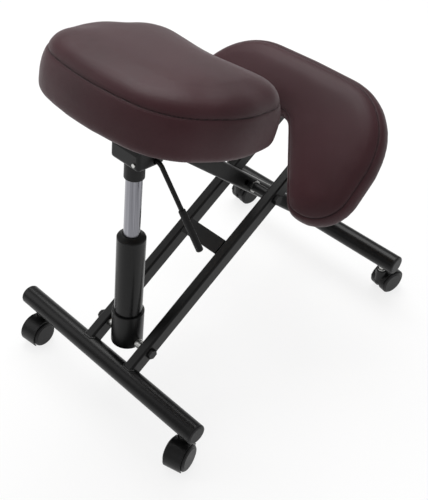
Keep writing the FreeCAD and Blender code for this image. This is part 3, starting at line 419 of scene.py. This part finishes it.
@dataclass(frozen=True)
class BurgundyVinyl:
    """Dark burgundy vinyl with a pressed leather grain and a sewn seam; painted shade darkens the grain's
    valleys and the seam's crease.
    """

    name: str
    crease_width: float = 0.0010
    stitch_distance: float = 0.0034
    stitch_width: float = 0.0005
    stitch_length: float = 0.0046
    grain_shift: float = 0.0012

    def make(self) -> bpy.types.Material:
        """Build the material."""
        sheet = Sheet(self.name)
        place = sheet.place()
        warp = sheet.noise(place, 420.0, 2.0)
        wander = sheet.node("ShaderNodeTexNoise", {}, {"Vector": place, "Scale": 300.0}).wire("Color")
        shift = {0: wander, 1: (self.grain_shift,) * 3, 2: place}
        shifted = sheet.node("ShaderNodeVectorMath", {"operation": "MULTIPLY_ADD"}, shift).wire("Vector")
        pebbles = sheet.cells(shifted, 760.0).between(0.0, 0.22)
        pores = sheet.noise(place, 2400.0, 1.0)
        clouds = sheet.noise(place, 6.0, 3.0)
        handling = sheet.noise(place, 24.0, 4.0, 0.6)
        seam = sheet.attribute("seam_distance")
        along = sheet.attribute("seam_along")
        crease = seam.hump(self.crease_width)
        beside = (seam - self.stitch_distance).hump(self.stitch_width)
        stitches = beside * (along * (2 * math.pi / self.stitch_length)).maths("SINE").between(-0.2, 0.5)
        deep = paint(0.0345, 0.0080, 0.0112)
        warm = paint(0.0480, 0.0118, 0.0162)
        base = sheet.blend(clouds.between(0.3, 0.7), deep, warm)
        greyed = sheet.blend(handling.between(0.45, 0.8) * 0.22, base, paint(0.050, 0.020, 0.025))
        # Painted shade: the colour darkens in the valleys between the grain's pebbles.
        lit = sheet.blend(pebbles * 0.35 + 0.65, paint(0.016, 0.0045, 0.0058), greyed)
        # Painted shade: the seam's crease is darkened almost to black in the colour, over its real groove
        # and bump.
        crease_with_painted_shade = sheet.blend(crease * 0.92, lit, paint(0.0035, 0.0012, 0.0016))
        sewn = sheet.blend(stitches * 0.35, crease_with_painted_shade, paint(0.022, 0.009, 0.011))
        rough = handling * 0.10 + (1.0 - pebbles) * 0.10 + crease * 0.2 + 0.36
        grain = pebbles * 0.6 + warp * 0.25 + pores * 0.15
        fine = sheet.bump(grain, 0.00022, 0.55)
        sewing = sheet.bump(crease * -1.0 + stitches * -0.25, 0.0011, 0.8, fine)
        return sheet.finish(
            Base_Color=sewn,
            Roughness=rough,
            Normal=sewing,
            IOR=1.5,
            Specular_IOR_Level=0.24,
            Sheen_Weight=0.04,
            Sheen_Roughness=0.45,
            Sheen_Tint=paint(0.80, 0.66, 0.70),
        )


@dataclass(frozen=True)
class WeldBead:
    """Black coated weld with its ripples."""

    name: str

    def make(self) -> bpy.types.Material:
        """Build the material."""
        sheet = Sheet(self.name)
        place = sheet.place()
        ripples = sheet.noise(place, 520.0, 3.0)
        pits = sheet.cells(place, 700.0, "F1")
        base = sheet.blend(ripples, grey(0.003), grey(0.008))
        normal = sheet.bump(ripples * 0.8 + pits * 0.2, 0.0006, 0.7)
        return sheet.finish(Base_Color=base, Roughness=ripples * 0.15 + 0.33, Normal=normal)


@dataclass(frozen=True)
class StudioPaper:
    """White paper with a soft shadow; seen and mirrored rays also meet a share of plain white."""

    name: str
    shade: float = 0.97
    fibre_step: float = 0.02
    white: float = 0.80

    def make(self) -> bpy.types.Material:
        """Build the material."""
        sheet = Sheet(self.name)
        fibre = sheet.noise(sheet.place(), 3.0, 2.0)
        base = sheet.blend(fibre, grey(self.shade), grey(self.shade + self.fibre_step))
        paper = sheet.finish(Base_Color=base, Roughness=0.9, IOR=1.2)
        rays = sheet.node("ShaderNodeLightPath", {}, {})
        seen = rays.wire("Is Camera Ray")
        for kind in ("Is Glossy Ray", "Is Transmission Ray"):
            seen = seen.maths("MAXIMUM", rays.wire(kind))
        glow = sheet.node("ShaderNodeEmission", {}, {}).wire("Emission")
        lit = Wire(sheet, sheet.shader.outputs["BSDF"])
        mixed = sheet.node("ShaderNodeMixShader", {}, {0: seen * self.white, 1: lit, 2: glow})
        sheet.tree.links.new(mixed.wire("Shader").socket, sheet.output.inputs["Surface"])
        return paper


def alone(thing: bpy.types.Object) -> None:
    """Select one object and make it active."""
    bpy.ops.object.select_all(action="DESELECT")
    thing.select_set(True)
    bpy.context.view_layer.objects.active = thing


def apply_all(thing: bpy.types.Object) -> None:
    """Apply every modifier of an object in its order."""
    alone(thing)
    for modifier in list(thing.modifiers):
        bpy.ops.object.modifier_apply(modifier=modifier.name)


def settle(thing: bpy.types.Object) -> None:
    """Put an object's place into its mesh."""
    alone(thing)
    bpy.ops.object.transform_apply(location=True, rotation=True, scale=True)


def dress(thing: bpy.types.Object, material: bpy.types.Material) -> None:
    """Give an object one material on its first slot and on every other slot."""
    if not thing.material_slots:
        thing.data.materials.append(material)
    for place in thing.material_slots:
        place.material = material


def unit(vector: np.ndarray) -> np.ndarray:
    """Vector of length one."""
    return vector / np.linalg.norm(vector)


@dataclass(frozen=True)
class Arc:
    """Rounded corner of an outline; turn is 1 where it bends with the outline and -1 against it."""

    start: np.ndarray
    centre: np.ndarray
    end: np.ndarray
    radius: float
    bend: float
    turn: float


@dataclass(frozen=True)
class Outline:
    """Half of a symmetric outline: rounded corners from the front middle to the rear middle, in metres."""

    corners: tuple

    def whole(self) -> list:
        """Every corner with its radius, rear towards +Y."""
        half = [(x, -y, radius) for x, y, radius in self.corners]
        return half + [(-x, y, radius) for x, y, radius in half[-2:0:-1]]

    def arcs(self, shift: float) -> list:
        """Arc of each corner when the outline is moved outwards.

        Args:
            shift: distance outwards, negative for inwards.

        Returns:
            One arc for each corner, in order.
        """
        corners = self.whole()
        count = len(corners)
        raw = np.array([(x, y) for x, y, _ in corners])
        following = np.roll(raw, -1, 0)
        turning = np.sum(raw[:, 0] * following[:, 1] - following[:, 0] * raw[:, 1])
        outward = 1.0 if turning > 0 else -1.0
        moved = []
        for index in range(count):
            before = unit(raw[index] - raw[index - 1])
            after = unit(raw[(index + 1) % count] - raw[index])
            normal_a = np.array((before[1], -before[0])) * outward
            normal_b = np.array((after[1], -after[0])) * outward
            halfway = unit(normal_a + normal_b)
            moved.append(raw[index] + halfway * shift / halfway.dot(normal_a))
        found = []
        for index in range(count):
            back = unit(moved[index - 1] - moved[index])
            ahead = unit(moved[(index + 1) % count] - moved[index])
            cross = (-back[0] * ahead[1] + back[1] * ahead[0]) * outward
            radius = corners[index][2] + (shift if cross > 0 else -shift)
            bend = math.pi - math.acos(float(np.clip(back.dot(ahead), -1, 1)))
            reach = radius * math.tan(bend / 2)
            centre = moved[index] + unit(back + ahead) * radius / math.cos(bend / 2)
            turn = 1 if cross * outward > 0 else -1
            start = moved[index] + back * reach
            end = moved[index] + ahead * reach
            found.append(Arc(start, centre, end, radius, bend, turn))
        return found

    def points(self, outset: float, spacing: float) -> np.ndarray:
        """Points along the outline moved outwards.

        Args:
            outset: distance outwards, negative for inwards.
            spacing: rough distance between points at no outset.

        Returns:
            Array of points with two columns; the number of points does not depend on the outset.
        """
        plan = self.arcs(0.0)
        moved = self.arcs(outset)
        count = len(plan)
        found = []
        for index, arc in enumerate(moved):
            steps = max(3, round(plan[index].radius * arc.bend / spacing))
            first = math.atan2(*(arc.start - arc.centre)[::-1])
            sweep = arc.bend * arc.turn
            for step in range(steps):
                angle = first + sweep * step / steps
                found.append(arc.centre + arc.radius * np.array((math.cos(angle), math.sin(angle))))
            gap = np.linalg.norm(plan[(index + 1) % count].start - plan[index].end)
            runs = max(1, round(gap / spacing))
            next_start = moved[(index + 1) % count].start
            for step in range(runs):
                found.append(arc.end + (next_start - arc.end) * step / runs)
        return np.array(found)


# Number of points whose distance from the seam is worked out at a time.
BATCH = 4000

# Cloth settings of the vinyl cover.
COVER = {
    "quality": 5,
    "mass": 0.3,
    "tension_stiffness": 15,
    "compression_stiffness": 15,
    "shear_stiffness": 6,
    "bending_stiffness": 6,
}


@dataclass
class Cushion:
    """Foam pad covered in vinyl: bulging band, sewn seam and crowned top.

    Lengths are in metres. The shoulder lists shares of the crown's height with the inset reached there.
    The cover is held fully near the seam and the board's rim and freely beyond seam_hold and rim_hold;
    swell limits how far it moves, and evening and smoothing are rounds of averaging.
    """

    name: str
    node: str
    body: str
    outline: Outline
    centre: Vector
    tilt: float
    side_height: float
    crown: float
    bulge: float
    shoulder: tuple
    board_depth: float = 0.0123
    board_inset: float = 0.0137
    rim_inset: float = 0.0035
    lower_edge: tuple = (0.004, 0.0010)
    voxel: float = 0.0045
    spacing: float = 0.005
    seam_spacing: float = 0.002
    shrink: float = 0.0022
    hold_from: float = 0.002
    seam_hold: float = 0.014
    rim_hold: float = 0.010
    least_hold: float = 0.01
    swell: float = 0.0075
    pressure: float = 4.0
    frames: int = 20
    evening: int = 36
    smoothing: int = 12
    groove: float = 0.0016
    groove_width: float = 0.0024
    fill: float = 0.9

    def matrix(self) -> Matrix:
        """Place of the pad's own frame in the chair."""
        return Matrix.Translation(self.centre) @ Matrix.Rotation(self.tilt, 4, "X")

    def levels(self) -> list:
        """Heights and outsets of the rings, from the rim of the board recess over the top."""
        band = [(0.0, -self.rim_inset), self.lower_edge]
        for part in (0.15, 0.3, 0.5, 0.7, 0.85):
            band.append((self.side_height * part, self.bulge * math.sin(math.pi * part) ** 0.7))
        band.append((self.side_height, 0.0))
        top = [(self.side_height + self.crown * rise, -inset) for rise, inset in self.shoulder]
        return band + top

    def shell(self) -> bpy.types.Object:
        """Closed starting form, a little smaller than the finished pad."""
        grid = bmesh.new()
        rings = []
        recess = [(self.board_depth, -self.board_inset), (0.0, -self.board_inset)]
        for height, outset in recess + self.levels():
            inset = self.shrink if height > self.board_depth else 0.0
            points = self.outline.points(outset - inset, self.spacing)
            rings.append([grid.verts.new((x, y, height)) for x, y in points])
        for lower, upper in zip(rings, rings[1:]):
            for index in range(len(lower)):
                following = (index + 1) % len(lower)
                grid.faces.new((lower[index], lower[following], upper[following], upper[index]))
        grid.faces.new(rings[0][::-1])
        grid.faces.new(rings[-1])
        bmesh.ops.recalc_face_normals(grid, faces=grid.faces[:])
        mesh = bpy.data.meshes.new(self.name)
        grid.to_mesh(mesh)
        grid.free()
        pad = bpy.data.objects.new(self.name, mesh)
        bpy.context.scene.collection.objects.link(pad)
        return pad

    def seam_points(self) -> np.ndarray:
        """Points of the sewn seam in the pad's own frame."""
        flat = self.outline.points(0.0, self.seam_spacing)
        return np.column_stack([flat, np.full(len(flat), self.side_height)])

    @staticmethod
    def from_seam(points: np.ndarray, seam: np.ndarray) -> tuple:
        """Distance of points from a closed seam, and their place along it.

        Args:
            points: points in three columns.
            seam: points of the seam in order.

        Returns:
            Distance and place along the seam, for each point.
        """
        runs = np.linalg.norm(np.diff(seam, axis=0, append=seam[:1]), axis=1)
        along = np.concatenate([[0.0], np.cumsum(runs)[:-1]])
        distance = np.zeros(len(points))
        place = np.zeros(len(points))
        direction = np.roll(seam, -1, 0) - seam
        for start in range(0, len(points), BATCH):
            batch = slice(start, start + BATCH)
            offset = points[batch, None, :] - seam[None, :, :]
            ratio = np.clip((offset * direction).sum(2) / (runs ** 2), 0.0, 1.0)
            gap = np.linalg.norm(offset - direction[None] * ratio[:, :, None], axis=2)
            nearest = gap.argmin(1)
            rows = np.arange(len(nearest))
            distance[batch] = gap[rows, nearest]
            place[batch] = along[nearest] + ratio[rows, nearest] * runs[nearest]
        return distance, place

    def hold(self, pad: bpy.types.Object, points: np.ndarray) -> None:
        """Mark how firmly the cover is held near the seam and the board's rim.

        Args:
            pad: pad that gets the vertex group.
            points: its vertex coordinates.
        """
        distance, _ = self.from_seam(points, self.seam_points())
        held = np.clip(1.0 - (distance - self.hold_from) / self.seam_hold, 0.0, 1.0)
        held = np.maximum(held, np.clip(1.0 - (points[:, 2] - self.hold_from) / self.rim_hold, 0.0, 1.0))
        group = pad.vertex_groups.new(name="held")
        for index, weight in enumerate(held):
            if weight > self.least_hold:
                group.add([index], float(weight), "REPLACE")

    def inflate(self, pad: bpy.types.Object) -> None:
        """Swell the pad with a short cloth simulation held at the seam and round the board.

        Args:
            pad: closed pad in its own frame.
        """
        alone(pad)
        remesh = pad.modifiers.new("even", "REMESH")
        remesh.mode = "VOXEL"
        remesh.voxel_size = self.voxel
        bpy.ops.object.modifier_apply(modifier=remesh.name)
        before = self.coordinates(pad)
        self.hold(pad, before)
        cloth = pad.modifiers.new("swell", "CLOTH")
        for key, value in COVER.items():
            setattr(cloth.settings, key, value)
        cloth.settings.use_pressure = True
        cloth.settings.uniform_pressure_force = self.pressure
        cloth.settings.vertex_group_mass = "held"
        cloth.settings.effector_weights.gravity = 0.0
        cloth.collision_settings.use_collision = False
        cloth.point_cache.frame_start = 1
        cloth.point_cache.frame_end = self.frames
        for number in range(1, self.frames + 1):
            bpy.context.scene.frame_set(number)
        alone(pad)
        bpy.ops.object.modifier_apply(modifier=cloth.name)
        bpy.context.scene.frame_set(1)
        after = self.coordinates(pad)
        moved = after - before
        length = np.linalg.norm(moved, axis=1, keepdims=True)
        limit = self.swell * np.tanh(length / self.swell)
        moved = moved * limit / np.maximum(length, 1e-9)
        self.write(pad, before + self.evened(pad, moved, self.evening))

    @staticmethod
    def evened(pad: bpy.types.Object, field: np.ndarray, rounds: int) -> np.ndarray:
        """Average a vector per vertex over its neighbours.

        Args:
            pad: pad whose edges say which vertices are neighbours.
            field: one vector for each vertex.
            rounds: how often the average is taken.

        Returns:
            The averaged vectors.
        """
        pairs = np.empty(len(pad.data.edges) * 2, dtype=np.int32)
        pad.data.edges.foreach_get("vertices", pairs)
        first, second = pairs.reshape(-1, 2).T
        count = len(field)
        degree = np.bincount(first, minlength=count) + np.bincount(second, minlength=count)
        degree = np.maximum(degree, 1)[:, None]
        for _ in range(rounds):
            total = np.zeros_like(field)
            for axis in range(3):
                total[:, axis] += np.bincount(first, weights=field[second, axis], minlength=count)
                total[:, axis] += np.bincount(second, weights=field[first, axis], minlength=count)
            field = (field + total / degree) / 2
        return field

    @staticmethod
    def coordinates(pad: bpy.types.Object) -> np.ndarray:
        """Vertex coordinates of a pad."""
        flat = np.empty(len(pad.data.vertices) * 3)
        pad.data.vertices.foreach_get("co", flat)
        return flat.reshape(-1, 3)

    @staticmethod
    def write(pad: bpy.types.Object, points: np.ndarray) -> None:
        """Set the vertex coordinates of a pad."""
        pad.data.vertices.foreach_set("co", points.ravel())
        pad.data.update()

    def soften(self, pad: bpy.types.Object) -> None:
        """Smooth the voxel steps and subdivide once."""
        smooth = pad.modifiers.new("ease", "SMOOTH")
        smooth.factor = 0.5
        smooth.iterations = self.smoothing
        finer = pad.modifiers.new("finer", "SUBSURF")
        finer.levels = 1
        finer.render_levels = 1
        apply_all(pad)

    def sew(self, pad: bpy.types.Object) -> None:
        """Draw the seam into the surface and store the distance from it on the mesh."""
        points = self.coordinates(pad)
        seam = [pad.closest_point_on_mesh(Vector(place))[1] for place in self.seam_points()]
        distance, along = self.from_seam(points, np.array(seam))
        normals = np.empty(len(points) * 3)
        pad.data.vertices.foreach_get("normal", normals)
        normals = normals.reshape(-1, 3)
        depth = self.groove * np.exp(-(distance / self.groove_width) ** 2)
        self.write(pad, points - normals * depth[:, None])
        for name, values in (("seam_distance", distance), ("seam_along", along)):
            layer = pad.data.attributes.new(name, "FLOAT", "POINT")
            layer.data.foreach_set("value", values.astype(np.float32))

    def build(self, vinyl: bpy.types.Material) -> bpy.types.Object:
        """Make, swell, sew and place the pad.

        Args:
            vinyl: material of the cover.

        Returns:
            The finished pad.
        """
        pad = self.shell()
        self.inflate(pad)
        self.soften(pad)
        self.sew(pad)
        pad.data.transform(self.matrix())
        pad.data.update()
        alone(pad)
        bpy.ops.object.shade_smooth()
        pad.vertex_groups.clear()
        dress(pad, vinyl)
        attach(pad, self.body)
        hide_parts(self.node)
        log.info("%s: %d faces", self.name, len(pad.data.polygons))
        return pad


@dataclass
class Welds:
    """Beads where the box tubes meet the round tubes."""

    layout: Layout
    rail_spacing: float = 0.1075
    rail_offset: float = 0.0014
    tube_radius: float = 0.019
    stock_width: float = 0.020
    stock_depth: float = 0.030
    stock_corner: float = 0.004
    corner_steps: int = 4
    bead: float = 0.0021
    ripple: float = 0.14
    ripple_step: float = 2.4
    made: list = field(default_factory=list)

    def section(self) -> list:
        """Points round the box tube's section."""
        half_width = self.stock_width / 2 - self.stock_corner
        half_depth = self.stock_depth / 2 - self.stock_corner
        found = []
        for quarter, (sign_x, sign_y) in enumerate(((1, 1), (-1, 1), (-1, -1), (1, -1))):
            for step in range(self.corner_steps + 1):
                angle = math.radians(90 * (quarter + step / self.corner_steps))
                x = sign_x * half_width + self.stock_corner * math.cos(angle)
                y = sign_y * half_depth + self.stock_corner * math.sin(angle)
                found.append((x, y))
        return found

    def path(self, across: float, axis: Vector, along: Vector, over: Vector, lift: float) -> list:
        """Points where a box tube meets the round tube.

        Args:
            across: place of the box tube across the chair.
            axis: point on the round tube's axis.
            along: direction of the box tube, away from the round tube.
            over: direction of the box tube's depth.
            lift: offset of the box tube's centre line from the round tube's axis.

        Returns:
            Points of the bead.
        """
        found = []
        for x, depth in self.section():
            offset = depth + lift
            reach = math.sqrt(max(self.tube_radius ** 2 - offset ** 2, 0.0))
            found.append(axis + Vector((across + x, 0.0, 0.0)) + along * reach + over * offset)
        return found

    def bead_along(self, name: str, points: list, body: str, material: bpy.types.Material) -> None:
        """Lay a closed, rippled bead along points.

        Args:
            name: name of the piece.
            points: points of the bead.
            body: moving body that it belongs to.
            material: its finish.
        """
        curve = bpy.data.curves.new(name, "CURVE")
        curve.dimensions = "3D"
        curve.bevel_depth = self.bead
        curve.bevel_resolution = 3
        curve.resolution_u = 6
        spline = curve.splines.new("NURBS")
        spline.points.add(len(points) - 1)
        for index, point in enumerate(points):
            spline.points[index].co = (*point, 1.0)
            spline.points[index].radius = 1.0 + self.ripple * math.sin(index * self.ripple_step)
        spline.order_u = 3
        spline.use_cyclic_u = True
        piece = bpy.data.objects.new(name, curve)
        bpy.context.scene.collection.objects.link(piece)
        alone(piece)
        bpy.ops.object.convert(target="MESH")
        piece = bpy.context.view_layer.objects.active
        piece.name = name
        bpy.ops.object.shade_smooth()
        dress(piece, material)
        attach(piece, body)
        self.made.append(piece)

    def build(self, material: bpy.types.Material) -> None:
        """Lay every bead."""
        place = self.layout
        for side in Side:
            across = self.rail_spacing / 2 * side.value
            points = self.path(across, place.rear, place.rail_ahead, place.rail_over, self.rail_offset)
            self.bead_along(f"rail_weld_{side.name.lower()}", points, "base_frame", material)
        points = self.path(0.0, place.front, place.beam_ahead, place.beam_over, 0.0)
        self.bead_along("beam_weld", points, "seat_frame", material)
        log.info("welds: %d beads", len(self.made))


@dataclass(frozen=True)
class Softbox:
    """Soft lamp: name, place, width of its face, power in watts, and height as a share of the width."""

    name: str
    place: tuple
    size: float
    watts: float
    tall: float = 1.0
    aim_height: float = 0.35

    def build(self) -> None:
        """Make the lamp and turn it towards the chair."""
        data = bpy.data.lights.new(self.name, "AREA")
        data.shape = "RECTANGLE"
        data.size = self.size
        data.size_y = self.size * self.tall
        data.energy = self.watts
        lamp = bpy.data.objects.new(self.name, data)
        bpy.context.scene.collection.objects.link(lamp)
        lamp.location = self.place
        aim = Vector((0.0, 0.0, self.aim_height)) - Vector(self.place)
        lamp.rotation_euler = aim.to_track_quat("-Z", "Y").to_euler()


# Lamps of the studio, all turned towards the chair.
SOFTBOXES = (
    Softbox("top_softbox", (0.8, -0.8, 2.5), 2.0, 60.0),
    Softbox("left_softbox", (1.7, 1.3, 1.6), 1.4, 11.0, 1.2),
    Softbox("right_softbox", (-2.0, -0.3, 1.4), 1.0, 2.5, 1.5),
    Softbox("near_softbox", (-0.7, 2.2, 1.5), 1.2, 5.0),
)


@dataclass
class Studio:
    """Pale floor, soft lamps and the camera of the photograph."""

    layout: Layout
    target_from_rear: Vector = field(default_factory=lambda: Vector((0.03263, -0.30737, 0.03899)))
    eye_from_rear: Vector = field(default_factory=lambda: Vector((-0.8286, 0.5428, 1.2051)))
    roll: float = -0.82
    lens: float = 71.59
    sensor: float = 36.0
    clip_end: float = 50.0
    light_level: float = 0.40
    seen_level: float = 1.0
    floor_size: float = 60.0
    floor_gap: float = 0.0005

    def camera(self) -> None:
        """Make the camera and point it."""
        data = bpy.data.cameras.new("photo_camera")
        data.sensor_fit = "HORIZONTAL"
        data.sensor_width = self.sensor
        data.lens = self.lens
        data.clip_end = self.clip_end
        camera = bpy.data.objects.new("photo_camera", data)
        bpy.context.scene.collection.objects.link(camera)
        eye = self.layout.rear + self.eye_from_rear
        forward = self.layout.rear + self.target_from_rear - eye
        turn = forward.to_track_quat("-Z", "Y").to_matrix().to_4x4()
        spin = Matrix.Rotation(math.radians(self.roll), 4, "Z")
        camera.matrix_world = Matrix.Translation(eye) @ turn @ spin
        bpy.context.scene.camera = camera

    def world(self) -> None:
        """White surroundings: one level for the light, another for what the camera sees."""
        world = bpy.data.worlds.new("studio")
        bpy.context.scene.world = world
        world.use_nodes = True
        tree = world.node_tree
        tree.nodes.clear()
        output = tree.nodes.new("ShaderNodeOutputWorld")
        path = tree.nodes.new("ShaderNodeLightPath")
        mix = tree.nodes.new("ShaderNodeMixShader")
        tree.links.new(path.outputs["Is Camera Ray"], mix.inputs["Fac"])
        for slot, level in ((1, self.light_level), (2, self.seen_level)):
            white = tree.nodes.new("ShaderNodeBackground")
            white.inputs["Color"].default_value = grey(1.0)
            white.inputs["Strength"].default_value = level
            tree.links.new(white.outputs["Background"], mix.inputs[slot])
        tree.links.new(mix.outputs["Shader"], output.inputs["Surface"])

    def floor(self) -> None:
        """Lay the floor."""
        bpy.ops.object.select_all(action="DESELECT")
        bpy.ops.mesh.primitive_plane_add(size=self.floor_size, location=(0.0, 0.0, -self.floor_gap))
        floor = bpy.context.view_layer.objects.active
        floor.name = "studio_floor"
        settle(floor)
        dress(floor, StudioPaper("studio_paper").make())

    def build(self) -> None:
        """Set the whole studio up."""
        self.camera()
        self.world()
        for softbox in SOFTBOXES:
            softbox.build()
        self.floor()
        bpy.context.scene.view_settings.view_transform = "Standard"
        log.info("studio ready")


@dataclass
class FrameFinishes:
    """Finishes of the carried-over pieces."""

    layout: Layout
    finishes: list = field(init=False)

    def __post_init__(self) -> None:
        """Make the finishes."""
        self.finishes = self.table()

    def table(self) -> list:
        """Finishes, each with words from the names of its pieces."""
        place = self.layout
        coat = PowderCoat("black_powder_coat").make()
        gloss = PowderCoat("black_tube_gloss", 0.003, 0.24, 1200.0).make()
        plastic = MouldedPlastic("black_moulding").make()
        caster = MouldedPlastic("caster_nylon", 0.004, 0.36, 2200.0).make()
        tread = MouldedPlastic("wheel_nylon", 0.005, 0.40, 1800.0).make()
        oxide = PowderCoat("black_oxide", 0.006, 0.38, 1600.0).make()
        zinc = ZincPlate("zinc_plate").make()
        steel = ZincPlate("bright_steel", 0.55).make()
        chrome = ColumnChrome("column_chrome", tuple(place.lift_foot), place.lift_lean).make()
        seat_ply = Plywood("seat_plywood", tuple(place.seat), place.seat_tilt).make()
        knee_ply = Plywood("knee_plywood", tuple(place.knee), place.knee_tilt).make()
        return [
            (coat, ("rail_right", "rail_left", "rail_brace", "seat_beam", "seat_plate", "seat_gusset")),
            (coat, ("knee_bracket", "_cross_tube", "lift_tray", "lift_cup", "lever_rod")),
            (gloss, ("lift_tube",)),
            (plastic, ("_end_caps", "rail_plugs", "lift_guide", "lift_collar", "lever_grip")),
            (plastic, ("main_pivot_spacers", "top_pivot_spacers")),
            (oxide, ("_bolt", "_nut")),
            (zinc, ("washers", "lift_foot_spacers", "lever_pin", "_screws", "release_pin")),
            (chrome, ("lift_column",)),
            (seat_ply, ("seat_board",)),
            (knee_ply, ("knee_board",)),
            (caster, ("_hood",)),
            (tread, ("_wheel_",)),
            (steel, ("_stem", "_axle")),
        ]

    def build(self) -> None:
        """Dress every carried-over piece that stays in sight."""
        dressed = 0
        for name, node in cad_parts.items():
            chosen = [finish for finish, words in self.finishes if any(word in name for word in words)]
            if chosen:
                dress(node, chosen[-1])
                dressed += 1
        log.info("dressed %d of %d carried-over pieces", dressed, len(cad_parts))


# Corners of the pads: distance from the middle, distance ahead of the pad's origin, radius.
SEAT_OUTLINE = Outline((
    (0.0, 0.1124, 0.210),
    (0.1505, 0.1359, 0.067),
    (0.1787, -0.0073, 0.171),
    (0.1417, -0.1320, 0.100),
    (0.0, -0.1616, 0.380),
))
KNEE_OUTLINE = Outline((
    (0.0, 0.1173, 0.305),
    (0.1899, 0.1133, 0.127),
    (0.2141, -0.0084, 0.094),
    (0.2138, -0.1352, 0.066),
    (0.1232, -0.1349, 0.034),
    (0.0, 0.0410, 0.038),
))


def main() -> None:
    """Build the chair's looks piece by piece."""
    layout = Layout()
    FrameFinishes(layout).build()
    vinyl = BurgundyVinyl("burgundy_vinyl").make()
    seat = Cushion(
        name="seat_pad",
        node="seat_cushion",
        body="seat_frame",
        outline=SEAT_OUTLINE,
        centre=layout.seat,
        tilt=layout.seat_tilt,
        side_height=0.067,
        crown=0.0275,
        bulge=0.0070,
        shoulder=((0.30, 0.0030), (0.60, 0.0090), (0.82, 0.018), (0.93, 0.030), (1.0, 0.048)),
    )
    seat.build(vinyl)
    knees = Cushion(
        name="knee_pad",
        node="knee_cushion",
        body="base_frame",
        outline=KNEE_OUTLINE,
        centre=layout.knee,
        tilt=layout.knee_tilt,
        side_height=0.037,
        crown=0.018,
        bulge=0.0095,
        shoulder=((0.30, 0.0030), (0.60, 0.0090), (0.85, 0.019), (1.0, 0.032)),
    )
    knees.build(vinyl)
    Welds(layout).build(WeldBead("coated_weld").make())
    Studio(layout).build()


if __name__ == "__main__":
    main()
